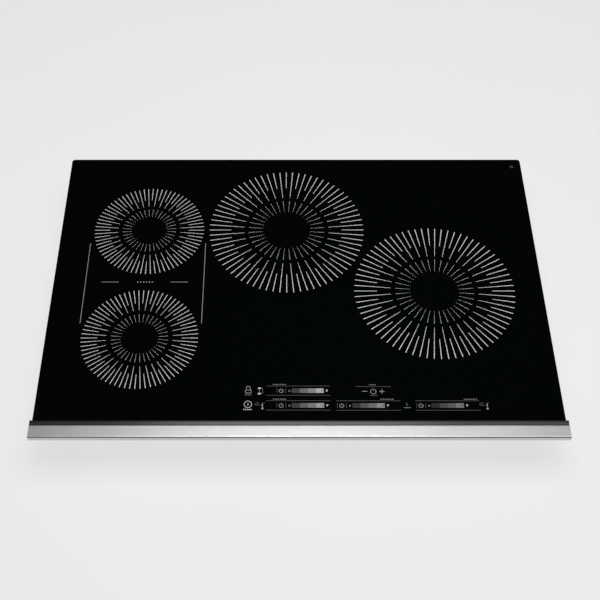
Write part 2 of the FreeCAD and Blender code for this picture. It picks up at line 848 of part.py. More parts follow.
def controls():
    """Plastic tub on the tray with the touch board on its rim, close under the glass."""
    touch_low = glass_low - size.touch_gap - size.board_thick
    near = inner_front + size.control_front_gap
    far = near + size.control_depth
    thick = size.control_wall
    tub = slab("control_tub", (size.control_left, size.control_right), (near, far),
               (layer.tray, touch_low))
    hollow = slab("control_tub_hollow", (size.control_left + thick, size.control_right - thick),
                  (near + thick, far - thick), (layer.tray + thick, touch_low + 1))
    cut("control_housing", tub, hollow)
    slab("touch_board", (size.control_left, size.control_right), (near, far),
         (touch_low, touch_low + size.board_thick))


terminal_back = inner_back - size.terminal_setback
terminal_front = terminal_back - size.terminal_depth


def supply_connection():
    """Terminal block under its cover, and the bushing that a supply conduit screws into."""
    half = size.terminal_width / 2
    top = size.wall + size.terminal_height
    block = slab("terminal_blank", (-half, half), (terminal_front, terminal_back), (size.wall, top))
    pitch = size.terminal_width / TERMINAL_COUNT
    pockets = []
    for number in range(TERMINAL_COUNT):
        middle = pitch * (number + 0.5) - half
        pockets.append(slab(f"terminal_pocket_{number}",
                            (middle - size.terminal_pocket / 2, middle + size.terminal_pocket / 2),
                            (terminal_front + size.control_wall, terminal_back - size.control_wall),
                            (top - size.terminal_pocket_deep, top + 1)))
    cut("terminal_block", block, *pockets)
    cover_half = size.junction_width / 2
    cover_front = inner_back - size.junction_depth
    cover_top = size.wall + size.junction_height
    lid = slab("junction_blank", (-cover_half, cover_half), (cover_front, inner_back),
               (size.wall, cover_top))
    room = slab("junction_room", (size.wall - cover_half, cover_half - size.wall),
                (cover_front + size.wall, inner_back + 1), (0, cover_top - size.wall))
    slot_half = size.junction_slot / 2
    passage = slab("junction_passage", (-slot_half, slot_half),
                   (cover_front - 1, cover_front + size.wall + 1),
                   (0, size.wall + size.junction_slot_height))
    cut("junction_cover", lid, fuse("junction_hollow", room, passage))
    body = new_body("conduit_bushing")
    flat = new_sketch(body, "bushing_profile", "XY_Plane")
    neck = size.bushing_neck
    thick = size.bushing_flange_thick
    inside = -(size.wall + size.bushing_inside)
    draw_outline(flat, ((size.bushing_bore, inside), (neck, inside), (neck, 0), (size.bushing_flange, 0),
                        (size.bushing_flange, thick), (neck, thick), (neck, size.bushing_proud),
                        (size.bushing_bore, size.bushing_proud)))
    revolve(body, "bushing_turned", flat)
    place(body, (0, box_back, size.bushing_level))


def rounded_path(points):
    """Straight runs joined by tangent arcs that are as large as the two runs at a corner allow."""
    edges = []
    start = points[0]
    for before, corner, after in zip(points, points[1:], points[2:]):
        into = (corner - before).normalize()
        out = (after - corner).normalize()
        half_turn = into.getAngle(out) / 2
        reach = 0.45 * min((corner - before).Length, (after - corner).Length)
        radius = reach / math.tan(half_turn)
        print(f"lead arc radius {radius:.1f}")
        enter = corner - into * reach
        leave = corner + out * reach
        bulge = (out - into).normalize()
        middle = corner + bulge * (radius / math.cos(half_turn) - radius)
        edges.append(Part.LineSegment(start, enter).toShape())
        edges.append(Part.Arc(enter, middle, leave).toShape())
        start = leave
    edges.append(Part.LineSegment(start, points[-1]).toShape())
    return Part.Wire(edges)


def supply_leads():
    """Three insulated leads from the terminal block to the filter board."""
    radius = size.lead_radius.number
    board_y = (size.filter_front + size.filter_depth - size.board_post_inset).number
    start_y = terminal_front.number
    exit_z = size.wall.number + size.junction_slot_height.number / 2
    top = board_top.number
    leads = []
    for number in (-1, 0, 1):
        x = size.lead_pitch.number * number
        points = [FreeCAD.Vector(x, start_y, exit_z),
                  FreeCAD.Vector(x, start_y - 30, exit_z),
                  FreeCAD.Vector(x * 1.2, board_y + 26, exit_z + 14),
                  FreeCAD.Vector(x * 1.2, board_y, exit_z + 18),
                  FreeCAD.Vector(x * 1.2, board_y, top)]
        path = rounded_path(points)
        section = Part.Wire([Part.Circle(points[0], points[1] - points[0], radius).toShape()])
        tube = path.makePipeShell([section], True, True)
        expected = math.pi * radius ** 2 * path.Length
        if abs(tube.Volume / expected - 1) > 0.01:
            raise RuntimeError("a supply lead is not a clean tube")
        leads.append(tube)
    harness = doc.addObject("Part::Feature", "supply_harness")
    harness.Label = "supply_harness"
    harness.Shape = Part.makeCompound(leads)
    harness.Placement = FreeCAD.Placement()


def hold_down_clamps():
    """On each side: a bracket, two screws, and a clamp screw that lifts a pad to the worktop."""
    screws = []
    for side, sign in SIDES:
        y = size.clamp_y
        x = (box_half + size.clamp_reach) * sign
        plate = slab("bracket_plate_" + side, mirrored(sign, box_half, box_half + size.bracket_thick),
                     (y - size.bracket_width / 2, y + size.bracket_width / 2),
                     (size.bracket_low, size.bracket_high))
        arm = slab("bracket_arm_" + side, mirrored(sign, box_half, box_half + size.arm_reach),
                   (y - size.arm_width / 2, y + size.arm_width / 2),
                   (size.arm_low, size.arm_low + size.arm_thick))
        holes = [rod("bracket_thread_" + side, (x, y, size.arm_low - 1),
                     size.clamp_radius + size.clamp_clear, size.arm_thick + 2)]
        sideways = FreeCAD.Vector(0, 1, 0)
        for number, spot in enumerate(bracket_screw_spots(sign, box_half - 1)):
            holes.append(rod(f"bracket_clear_{side}_{number}", spot,
                             size.screw_shank + size.screw_clear, size.bracket_thick + 2,
                             90 * sign, sideways))
        for number, spot in enumerate(bracket_screw_spots(sign, box_half + size.bracket_thick)):
            head = rod(f"screw_head_{side}_{number}", spot, size.screw_head, size.screw_head_thick,
                       90 * sign, sideways)
            shank = rod(f"screw_shank_{side}_{number}", spot, size.screw_shank, size.screw_length,
                        -90 * sign, sideways)
            screws.append(fuse(f"screw_{side}_{number}", head, shank))
        cut("hold_down_bracket_" + side, fuse("bracket_blank_" + side, plate, arm), *holes)
        tip_low = size.clamp_low + size.clamp_length
        stud = fuse("clamp_stud_" + side,
                    rod("clamp_shank_" + side, (x, y, size.clamp_low), size.clamp_radius,
                        size.clamp_length),
                    rod("clamp_tip_" + side, (x, y, tip_low), size.clamp_tip, size.clamp_tip_length))
        slot = slab("clamp_slot_" + side, (x - size.clamp_radius * 2, x + size.clamp_radius * 2),
                    (y - size.clamp_slot / 2, y + size.clamp_slot / 2),
                    (size.clamp_low - 1, size.clamp_low + size.clamp_slot * 1.5))
        cut("clamp_screw_" + side, stud, slot)
        pad_low = tip_low + size.pad_gap
        cut("clamp_pad_" + side,
            rod("pad_blank_" + side, (x, y, pad_low), size.pad_radius, size.pad_thick),
            rod("pad_socket_" + side, (x, y, pad_low - 1), size.clamp_tip + size.clamp_clear,
                size.clamp_tip_length + 1))
    group("bracket_screws", *screws)


glass_panel()
front_trim()
trim_seal()
frame_strip("bonding_bead", flange_half - size.edge_inset, glass_front + size.edge_inset / 2,
            flange_back - size.edge_inset, size.bead_width, flange_top, size.bead_thick)
frame_strip("worktop_gasket", flange_half - size.edge_inset, flange_front + size.edge_inset,
            flange_back - size.edge_inset, size.gasket_width, size.worktop_level, size.gasket_thick)
burner_box()
tray_and_posts()
for zone in ZONES:
    coil_unit(*zone)
power_electronics()
fans()
controls()
supply_connection()
supply_leads()
hold_down_clamps()

NODES = ["glass_top", "front_trim", "trim_seal", "bonding_bead", "worktop_gasket", "burner_box",
         "intake_guards", "coil_tray", "tray_posts", "spring_posts", "power_board_left",
         "power_board_right", "heat_sinks", "power_transistors", "board_capacitors", "board_chokes",
         "filter_board", "board_posts", "control_housing", "touch_board", "fan_motors",
         "terminal_block", "junction_cover", "conduit_bushing", "supply_harness", "bracket_screws"]
for side, _ in SIDES:
    NODES += [f"{kind}_{side}" for kind in ("fan_housing", "fan_rotor", "hold_down_bracket",
                                            "clamp_screw", "clamp_pad")]
for zone in ZONES:
    NODES += [f"{kind}_{zone[0]}" for kind in ("coil_carrier", "coil_winding", "ferrite_bars",
                                               "mica_sheet", "heat_sensor", "carrier_springs")]

doc.recompute()
for item in doc.Objects:
    if "Invalid" in item.State or "Error" in item.State:
        raise RuntimeError(f"{item.Label} failed: {item.State}")
shapes = {}
for node in NODES:
    shape = doc.getObjectsByLabel(node)[0].Shape
    if shape.isNull() or not shape.isValid() or not shape.Solids:
        raise RuntimeError(f"{node} has no valid solid")
    shapes[node] = shape
os.makedirs("parts", exist_ok=True)
for node, shape in shapes.items():
    shape.exportStep(f"parts/{node}.step")
    print(f"{node}: {len(shape.Solids)} solids, {shape.Volume / 1000:.1f} cm3")
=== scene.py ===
import math

import bmesh
import bpy
import numpy as np
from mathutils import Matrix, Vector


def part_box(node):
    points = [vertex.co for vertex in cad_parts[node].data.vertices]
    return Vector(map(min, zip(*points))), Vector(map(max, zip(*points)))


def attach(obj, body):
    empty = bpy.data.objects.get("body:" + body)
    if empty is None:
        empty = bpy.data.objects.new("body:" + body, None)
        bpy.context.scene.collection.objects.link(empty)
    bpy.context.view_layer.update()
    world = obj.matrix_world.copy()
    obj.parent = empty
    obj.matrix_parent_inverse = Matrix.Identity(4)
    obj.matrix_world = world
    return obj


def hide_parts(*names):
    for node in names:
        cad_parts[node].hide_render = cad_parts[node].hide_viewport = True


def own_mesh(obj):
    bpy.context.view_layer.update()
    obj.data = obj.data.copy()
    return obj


# Looks of a drop-in induction cooktop: a black glass panel with printed marks, a brushed
# front trim, and a steel box below with the coils, boards and fans. Lengths are in
# millimetres unless a name says otherwise; points turn into metres when a mesh is made.

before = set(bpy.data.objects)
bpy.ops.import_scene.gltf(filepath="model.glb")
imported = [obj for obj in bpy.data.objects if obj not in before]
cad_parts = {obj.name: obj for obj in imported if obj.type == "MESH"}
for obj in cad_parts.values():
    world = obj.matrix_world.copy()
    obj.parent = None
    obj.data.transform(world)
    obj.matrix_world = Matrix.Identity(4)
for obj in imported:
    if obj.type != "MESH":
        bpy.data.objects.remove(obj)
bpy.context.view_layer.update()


# ---- Burner box ----------------------------------------------------------------------
# Pan folded and welded from 1 mm galvanised sheet, with small bends, an outward flange that
# the glass is glued to, and punched slots where the cooling air leaves.

METRE = 1000.0
HOUSE = "cooktop"
MERGE_METRES = 1e-7


class Shade:
    """A value inside a material. Arithmetic on it adds Math nodes; node() adds any other."""

    def __init__(self, tree, socket):
        self.tree = tree
        self.socket = socket

    def feed(self, socket, value):
        if isinstance(value, Shade):
            self.tree.links.new(value.socket, socket)
        else:
            socket.default_value = value

    def node(self, kind, settings=None, inputs=None, output=0):
        """Adds a node: its settings come first, then the values or links of its sockets."""
        made = self.tree.nodes.new(kind)
        for name, value in (settings or {}).items():
            setattr(made, name, value)
        for key, value in (inputs or {}).items():
            self.feed(made.inputs[key], value)
        return Shade(self.tree, made.outputs[output])

    def math(self, operation, left, right):
        return self.node("ShaderNodeMath", {"operation": operation}, {0: left, 1: right})

    def __add__(self, other):
        return self.math("ADD", self, other)

    def __radd__(self, other):
        return self.math("ADD", other, self)

    def __sub__(self, other):
        return self.math("SUBTRACT", self, other)

    def __rsub__(self, other):
        return self.math("SUBTRACT", other, self)

    def __mul__(self, other):
        return self.math("MULTIPLY", self, other)

    def __rmul__(self, other):
        return self.math("MULTIPLY", other, self)

    def __truediv__(self, other):
        return self.math("DIVIDE", self, other)

    def stretched(self, x, y, z):
        """The same place with each axis scaled, so that a pattern is drawn out along one."""
        return self.node("ShaderNodeMapping", None, {"Vector": self, "Scale": (x, y, z)})

    def noise(self, scale, detail=2.0, rough=0.5):
        return self.node("ShaderNodeTexNoise", None,
                         {"Vector": self, "Scale": scale, "Detail": detail, "Roughness": rough})

    def cells(self, scale, output=0):
        """Rounded cells: output 0 is the distance to a cell's middle and 1 is its own colour."""
        return self.node("ShaderNodeTexVoronoi", {"feature": "F1"},
                         {"Vector": self, "Scale": scale}, output)

    def between(self, low, high):
        """Nought below the low limit, one above the high limit and even in between."""
        return self.node("ShaderNodeMapRange", {"clamp": True},
                         {"Value": self, "From Min": low, "From Max": high})

    def blend(self, first, second):
        """The first colour where this value is nought and the second where it is one."""
        return self.node("ShaderNodeMix", {"data_type": "RGBA"}, {0: self, 6: first, 7: second}, 2)

    def bump(self, strength, distance):
        """A normal that treats this value as a height, with the distance in millimetres."""
        return self.node("ShaderNodeBump", None,
                         {"Height": self, "Strength": strength, "Distance": distance / METRE})


def tint(red, green, blue):
    return (red, green, blue, 1.0)


def new_finish(name, even):
    """A material whose even values are set on the shader's own sockets, and its object place."""
    material = bpy.data.materials.new(name)
    material.use_nodes = True
    tree = material.node_tree
    shader = tree.nodes["Principled BSDF"]
    for socket, value in even.items():
        shader.inputs[socket].default_value = value
    where = tree.nodes.new("ShaderNodeTexCoord")
    return material, shader, Shade(tree, where.outputs["Object"])


def loop_faces(rows, columns, rows_close=False, columns_close=True):
    """Quads between neighbouring points of a grid that may close on itself either way."""
    down = np.arange(rows if rows_close else rows - 1)[:, None]
    along = np.arange(columns if columns_close else columns - 1)[None, :]
    below = (down + 1) % rows
    after = (along + 1) % columns
    quads = np.stack((down * columns + along, down * columns + after,
                      below * columns + after, below * columns + along), axis=-1)
    return quads.reshape(-1, 4).tolist()


def capped_grid(rings):
    """Points and faces of rings of equal length joined into a closed skin with two flat caps."""
    count = len(rings[0])
    faces = loop_faces(len(rings), count)
    faces.append(list(range(count)))
    faces.append(list(range((len(rings) - 1) * count, len(rings) * count)))
    return np.concatenate(rings), faces


def clean_mesh(name, points, faces, tone=None):
    """A mesh from points in millimetres, with its doubles merged and its faces turned outwards.
    A tone for each point, where there is one, goes into an attribute."""
    mesh = bpy.data.meshes.new(name)
    mesh.from_pydata((np.asarray(points) / METRE).tolist(), [], faces)
    if tone is not None:
        mesh.attributes.new("tone", "FLOAT", "POINT").data.foreach_set("value", tone)
    work = bmesh.new()
    work.from_mesh(mesh)
    bmesh.ops.remove_doubles(work, verts=work.verts, dist=MERGE_METRES)
    bmesh.ops.recalc_face_normals(work, faces=work.faces)
    work.to_mesh(mesh)
    work.free()
    return mesh


def in_scene(name, data):
    """A new object in the scene, for a mesh, a light or a camera."""
    made = bpy.data.objects.new(name, data)
    bpy.context.scene.collection.objects.link(made)
    return made


def smooth_below(mesh, crease):
    """Smooth shading, broken at every edge sharper than the crease angle in degrees."""
    mesh.shade_smooth()
    mesh.set_sharp_from_angle(angle=math.radians(crease))


def make_piece(name, points, faces, material, slot, body=HOUSE, crease=35.0, tone=None):
    """A piece of the object in one material, moving with a body."""
    mesh = clean_mesh(name, points, faces, tone)
    smooth_below(mesh, crease)
    mesh.materials.append(material)
    piece = in_scene(name, mesh)
    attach(piece, body)
    return piece


def cad_limits(node):
    """A node's lowest and highest corners in millimetres."""
    low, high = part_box(node)
    return np.array(low) * METRE, np.array(high) * METRE


def rounded_outline(low, high, radius, steps=8):
    """Outline of a rectangle whose corners are quarter circles, anticlockwise from +X."""
    turn = np.linspace(0.0, math.pi / 2, steps)
    arcs = []
    for quarter, (side_x, side_y) in enumerate(((1, 1), (-1, 1), (-1, -1), (1, -1))):
        centre_x = (high[0] - radius) if side_x > 0 else (low[0] + radius)
        centre_y = (high[1] - radius) if side_y > 0 else (low[1] + radius)
        angle = turn + quarter * math.pi / 2
        arcs.append(np.stack((centre_x + radius * np.cos(angle),
                              centre_y + radius * np.sin(angle)), axis=1))
    return np.concatenate(arcs)


def at_level(outline, level):
    """An outline in plan as points at one height."""
    return np.column_stack((outline, np.full(len(outline), level)))


BOX_SHEET = 1.0
BOX_BEND = 2.4
BOX_CORNER = 5.0
BOX_FRONT = -225.5
FLANGE_LOW = 84.0
FLANGE_CORNER = 8.0
BUSHING_OUT = 12.0


def galvanised_finish():
    """Zinc coat with large soft crystals, each with its own tone and gloss."""
    material, shader, place = new_finish("galvanised_sheet", {"Metallic": 1.0})
    flowers = place.cells(90.0, 1)
    tone = place.node("ShaderNodeSeparateColor", None, {0: flowers}, 0)
    cloud = place.noise(14.0, 4.0, 0.6).between(0.3, 0.7)
    mask = tone * 0.6 + cloud * 0.4
    place.feed(shader.inputs["Base Color"],
               mask.blend(tint(0.56, 0.57, 0.58), tint(0.74, 0.75, 0.76)))
    place.feed(shader.inputs["Roughness"], tone * 0.16 + cloud * 0.1 + 0.34)
    place.feed(shader.inputs["Normal"], place.noise(800.0, 2.0).bump(0.12, 0.03))
    return material


GALVANISED = galvanised_finish()
flange_low, flange_high = cad_limits("burner_box")
bushing_low, bushing_high = cad_limits("conduit_bushing")
bracket_low, bracket_high = cad_limits("hold_down_bracket_right")
box_half = bracket_low[0]
box_back = bushing_high[1] - BUSHING_OUT
box_low = np.array((-box_half, BOX_FRONT))
box_high = np.array((box_half, box_back))


def pan_skin():
    """Outside of the pan as rounded outlines, one at each level: in by the bend's arc at the
    floor, straight up the wall, and out by a second arc to the rim of the flange."""
    rings = []
    for turn in np.radians(np.linspace(0, 90, 6)):
        inset = BOX_BEND * (1 - math.sin(turn))
        rings.append((box_low + inset, box_high - inset, BOX_CORNER - inset,
                      BOX_BEND * (1 - math.cos(turn))))
    for turn in np.radians(np.linspace(0, 90, 5)):
        out = BOX_BEND * (1 - math.cos(turn))
        rings.append((box_low - out, box_high + out, BOX_CORNER + out,
                      FLANGE_LOW - BOX_BEND * (1 - math.sin(turn))))
    rings.append((flange_low[:2], flange_high[:2], FLANGE_CORNER, FLANGE_LOW))
    outlines = [at_level(rounded_outline(low, high, corner), level)
                for low, high, corner, level in rings]
    count = len(outlines[0])
    faces = loop_faces(len(outlines), count)
    faces.append(list(range(count)))
    return np.concatenate(outlines), faces


def prism(outline, low, high, axis):
    """A closed prism: an outline in the two other axes carried between two places on one."""
    outline = np.asarray(outline, dtype=float)
    return capped_grid([np.insert(outline, axis, place, axis=1) for place in (low, high)])


def stadium(middle, half_width, half_height):
    """Outline of an upright slot about its middle. Its ends are just short of half circles, so
    that no two points meet at the crown."""
    half = np.array((half_width, half_height))
    return rounded_outline(middle - half, middle + half, half_width * 0.98, 6)


def circle(middle, radius, steps=40):
    angle = np.linspace(0, 2 * math.pi, steps, endpoint=False)
    return np.column_stack((middle[0] + radius * np.cos(angle), middle[1] + radius * np.sin(angle)))


def joined(shapes):
    """Several meshes as one set of points and faces."""
    points = []
    faces = []
    first = 0
    for shape_points, shape_faces in shapes:
        points.append(shape_points)
        faces += [[index + first for index in face] for face in shape_faces]
        first += len(shape_points)
    return np.concatenate(points), faces


def give_thickness(piece, sheet, side):
    """Gives a folded skin the thickness of its sheet, along its normals for a side of 1 and
    against them for -1."""
    wall = piece.modifiers.new("sheet", "SOLIDIFY")
    wall.thickness = sheet / METRE
    wall.offset = side
    wall.use_even_offset = True


def punched(piece, punches):
    """Cuts the punches out of a piece, with the modifiers that it already has."""
    tool = in_scene("punches", clean_mesh("punches", *joined(punches)))
    cutting = piece.modifiers.new("punching", "BOOLEAN")
    cutting.operation = "DIFFERENCE"
    cutting.solver = "EXACT"
    cutting.object = tool
    bpy.context.view_layer.update()
    finished = bpy.data.meshes.new_from_object(piece.evaluated_get(bpy.context.evaluated_depsgraph_get()))
    piece.modifiers.clear()
    piece.data = finished
    bpy.data.objects.remove(tool)
    smooth_below(finished, 30.0)


SLOT_HALF = (2.0, 18.0)
SLOT_LEVEL = 38.0
SLOT_PITCH = 12.0
REAR_SLOTS, REAR_SLOT_START = 17, 130.0
SIDE_SLOTS, SIDE_SLOT_START = 7, 25.0
FAN_PLACES = ((-225.0, 150.0), (225.0, 150.0))
INTAKE_RADIUS = 36.0
BUSHING_HOLE = 11.3
PUNCH_REACH = 3.0
clamp_y = (bracket_low[1] + bracket_high[1]) / 2
bushing_level = (bushing_low[2] + bushing_high[2]) / 2
rear_wall = (box_back - PUNCH_REACH, box_back + PUNCH_REACH)
punches = []
for sign in (-1, 1):
    side_wall = sorted(((box_half - PUNCH_REACH) * sign, (box_half + PUNCH_REACH) * sign))
    for number in range(REAR_SLOTS):
        middle = ((REAR_SLOT_START + SLOT_PITCH * number) * sign, SLOT_LEVEL)
        punches.append(prism(stadium(middle, *SLOT_HALF), *rear_wall, 1))
    for number in range(SIDE_SLOTS):
        middle = (BOX_FRONT + SIDE_SLOT_START + SLOT_PITCH * number, SLOT_LEVEL)
        punches.append(prism(stadium(middle, *SLOT_HALF), *side_wall, 0))
for place in FAN_PLACES:
    punches.append(prism(circle(place, INTAKE_RADIUS, 64), -PUNCH_REACH, PUNCH_REACH, 2))
punches.append(prism(circle((0.0, bushing_level), BUSHING_HOLE), *rear_wall, 1))
box = make_piece("folded_burner_box", *pan_skin(), GALVANISED, "box_steel", crease=30.0)
give_thickness(box, BOX_SHEET, 1.0)
punched(box, punches)
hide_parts("burner_box")


# ---- Intake guards -------------------------------------------------------------------
# Under each fan a round grille keeps fingers out. It is stamped from zinc plated sheet, three
# rings and two bars, and spot welded over the hole in the floor of the box.

def plain_finish(name, dark, light, gloss, even=None, grain=40.0, bump=(0.1, 0.05), drawn=(1, 1, 1)):
    """A finish of two near tones mixed by a soft noise, which also moves its gloss between two
    values, over a fine grain in its surface. It may be drawn out along an axis."""
    material, shader, place = new_finish(name, even or {})
    place = place.stretched(*drawn)
    cloud = place.noise(grain, 3.0, 0.6).between(0.3, 0.7)
    fine = place.noise(grain * 22.0, 2.0, 0.6)
    place.feed(shader.inputs["Base Color"], cloud.blend(tint(*dark), tint(*light)))
    place.feed(shader.inputs["Roughness"], cloud * (gloss[1] - gloss[0]) + gloss[0])
    place.feed(shader.inputs["Normal"], fine.bump(*bump))
    return material


ZINC = plain_finish("zinc_plate", (0.50, 0.51, 0.53), (0.66, 0.67, 0.69), (0.26, 0.4),
                    {"Metallic": 1.0}, grain=30.0, bump=(0.1, 0.02))


def dress(material, *nodes):
    """Gives CAD nodes a material through their own slots; their meshes stay as they are."""
    for node in nodes:
        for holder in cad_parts[node].material_slots:
            holder.link = "OBJECT"
            holder.material = material


dress(ZINC, "intake_guards")


# ---- Fans ----------------------------------------------------------------------------
# Two blowers draw air up through the floor and push it over the heat sinks. The shell is
# moulded in black plastic and the wheel in dark grey; the motor is zinc plated steel.

BLACK_PLASTIC = plain_finish("black_moulded_plastic", (0.014, 0.014, 0.015), (0.024, 0.024, 0.025),
                             (0.42, 0.55), grain=60.0, bump=(0.3, 0.05))
GREY_PLASTIC = plain_finish("grey_moulded_plastic", (0.030, 0.031, 0.033), (0.045, 0.046, 0.048),
                            (0.36, 0.48), grain=50.0, bump=(0.2, 0.04))
dress(BLACK_PLASTIC, "fan_housing_left", "fan_housing_right")
dress(GREY_PLASTIC, "fan_rotor_left", "fan_rotor_right")
dress(ZINC, "fan_motors")


# ---- Supply inlet --------------------------------------------------------------------
# A plastic bushing is snapped into the rear wall for the supply conduit. Its collar has
# eight grips and its bore is rounded at both ends, so that no lead chafes.

BUSHING_GRIPS = 8
GRIP_DEPTH = 0.5
COLLAR_THICK = 3.0


def bushing_shape(middle, low, high):
    """Turned about Y: a neck with a snap ridge, a gripped collar outside the wall and a round
    bore, as one skin whose last row meets the first. A row is a radius, a place along Y and a
    one where the grips stand out of it."""
    steps = 64
    angle = np.linspace(0, 2 * math.pi, steps, endpoint=False)
    grips = GRIP_DEPTH * (np.cos(angle * BUSHING_GRIPS) > 0.55)
    wall = box_back - low
    face = wall + COLLAR_THICK
    end = high - low
    rows = ((8.6, 0.0, 0), (10.4, 0.0, 0), (10.9, 0.5, 0), (10.9, wall - 2.4, 0),
            (11.2, wall - 1.4, 0), (10.9, wall - 1.0, 0), (10.9, wall, 0),
            (14.0, wall + 0.02, 0), (14.9, wall + 0.5, 1), (14.9, face - 0.6, 1),
            (14.1, face, 0), (12.0, face, 0), (11.2, face + 0.7, 0), (10.8, end - 0.7, 0),
            (10.1, end, 0), (8.8, end, 0), (8.1, end - 0.8, 0), (8.1, 0.6, 0))
    rings = []
    for radius, along, gripped in rows:
        reach = radius - grips * gripped
        rings.append(np.column_stack((middle[0] + reach * np.cos(angle), np.full(steps, low + along),
                                      middle[1] + reach * np.sin(angle))))
    return np.concatenate(rings), loop_faces(len(rings), steps, rows_close=True)


bushing = make_piece("conduit_bushing_collar",
                     *bushing_shape((0.0, bushing_level), bushing_low[1], bushing_high[1]),
                     BLACK_PLASTIC, "plastic", crease=30.0)
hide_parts("conduit_bushing")


# ---- Supply wiring -------------------------------------------------------------------
# The terminal block stands under a folded steel cover at the rear. Three insulated leads run
# from it to the filter board.

PALE_PLASTIC = plain_finish("pale_moulded_plastic", (0.50, 0.49, 0.45), (0.60, 0.59, 0.55),
                            (0.4, 0.52), grain=40.0, bump=(0.2, 0.04))
LEAD = plain_finish("lead_insulation", (0.030, 0.045, 0.090), (0.045, 0.062, 0.12), (0.34, 0.46),
                    grain=110.0, bump=(0.15, 0.03))
dress(PALE_PLASTIC, "terminal_block")
dress(GALVANISED, "junction_cover")
dress(LEAD, "supply_harness")


# ---- Power boards --------------------------------------------------------------------
# Glass fibre boards with a green mask carry the switching parts. Each stands on plastic posts,
# with an extruded aluminium heat sink in the path of the air.

def board_finish():
    """Green solder mask over copper: runs of tracks, a darker weave of fibre and a gloss coat."""
    material, shader, place = new_finish("printed_board", {"IOR": 1.5})
    tracks = place.node("ShaderNodeTexBrick", {"offset": 0.35},
                        {"Vector": place, "Scale": 260.0, "Mortar Size": 0.09}, 1)
    weave = place.stretched(1.0, 1.0, 0.2).cells(1800.0).between(0.2, 0.7)
    green = weave.blend(tint(0.006, 0.055, 0.026), tint(0.010, 0.075, 0.036))
    place.feed(shader.inputs["Base Color"], tracks.blend(green, tint(0.030, 0.17, 0.075)))
    place.feed(shader.inputs["Roughness"], weave * 0.12 + 0.28)
    place.feed(shader.inputs["Normal"], tracks.bump(0.4, 0.04))
    return material


def drawn_metal(name, dark, light, gloss, across):
    """Metal with die lines along Y: fine noise stretched along the draw moves tone and gloss."""
    material, shader, place = new_finish(name, {"Metallic": 1.0})
    lines = place.stretched(across, 8.0, across).noise(1.0, 3.0, 0.6)
    cloud = place.noise(16.0, 3.0).between(0.35, 0.7)
    place.feed(shader.inputs["Base Color"], lines.between(0.3, 0.7).blend(tint(*dark), tint(*light)))
    place.feed(shader.inputs["Roughness"], lines * 0.12 + cloud * 0.08 + gloss)
    place.feed(shader.inputs["Normal"], lines.bump(0.3, 0.03))
    return material


BOARD = board_finish()
ALUMINIUM = drawn_metal("extruded_aluminium", (0.62, 0.63, 0.65), (0.78, 0.79, 0.80), 0.28, 1400.0)
EPOXY = plain_finish("moulded_epoxy", (0.012, 0.012, 0.013), (0.020, 0.020, 0.021), (0.5, 0.62),
                     grain=120.0, bump=(0.3, 0.03))
FILM_CASE = plain_finish("capacitor_case", (0.24, 0.020, 0.016), (0.32, 0.030, 0.022), (0.26, 0.36),
                         grain=60.0, bump=(0.12, 0.03))
FERRITE = plain_finish("sintered_ferrite", (0.030, 0.030, 0.033), (0.055, 0.055, 0.060),
                       (0.5, 0.68), grain=160.0, bump=(0.5, 0.06))
dress(BOARD, "power_board_left", "power_board_right", "filter_board", "touch_board")
dress(ALUMINIUM, "heat_sinks")
dress(EPOXY, "power_transistors")
dress(FILM_CASE, "board_capacitors")
dress(FERRITE, "board_chokes")
dress(PALE_PLASTIC, "board_posts")


# ---- Coil tray -----------------------------------------------------------------------
# An aluminium sheet on six zinc plated posts carries the coils. Three slim guide posts stand
# on it under each coil and pass through the ears of its carrier.

SHEET = drawn_metal("rolled_aluminium", (0.55, 0.56, 0.57), (0.70, 0.71, 0.72), 0.34, 700.0)
dress(SHEET, "coil_tray")
dress(ZINC, "tray_posts", "spring_posts")


# ---- Induction coils -----------------------------------------------------------------
# Four flat windings of stranded copper lie on carriers over bars of ferrite. A sheet of mica
# covers each one and a heat sensor stands in its middle, close under the glass.

def stranded_copper():
    """Varnished strands: slanting bands at the width of a strand, with a tone for each."""
    material, shader, place = new_finish("stranded_copper", {"Metallic": 0.85})
    strands = place.node("ShaderNodeTexWave", {"bands_direction": "DIAGONAL"},
                         {"Vector": place, "Scale": 220.0, "Distortion": 1.5, "Detail": 2.0}, 1)
    cloud = place.noise(60.0, 3.0).between(0.3, 0.7)
    place.feed(shader.inputs["Base Color"],
               (strands * 0.6 + cloud * 0.4).blend(tint(0.33, 0.105, 0.040), tint(0.62, 0.25, 0.11)))
    place.feed(shader.inputs["Roughness"], cloud * 0.12 + 0.26)
    place.feed(shader.inputs["Normal"], strands.bump(0.6, 0.12))
    return material


def mica_finish():
    """Silvery flakes of mica bonded in resin, each flake with its own tone and gloss."""
    material, shader, place = new_finish("bonded_mica", {"IOR": 1.58})
    flakes = place.cells(340.0, 1)
    tone = place.node("ShaderNodeSeparateColor", None, {0: flakes}, 0)
    place.feed(shader.inputs["Base Color"], tone.blend(tint(0.34, 0.29, 0.22), tint(0.62, 0.57, 0.47)))
    place.feed(shader.inputs["Roughness"], tone * 0.3 + 0.25)
    place.feed(shader.inputs["Normal"], tone.bump(0.35, 0.05))
    return material


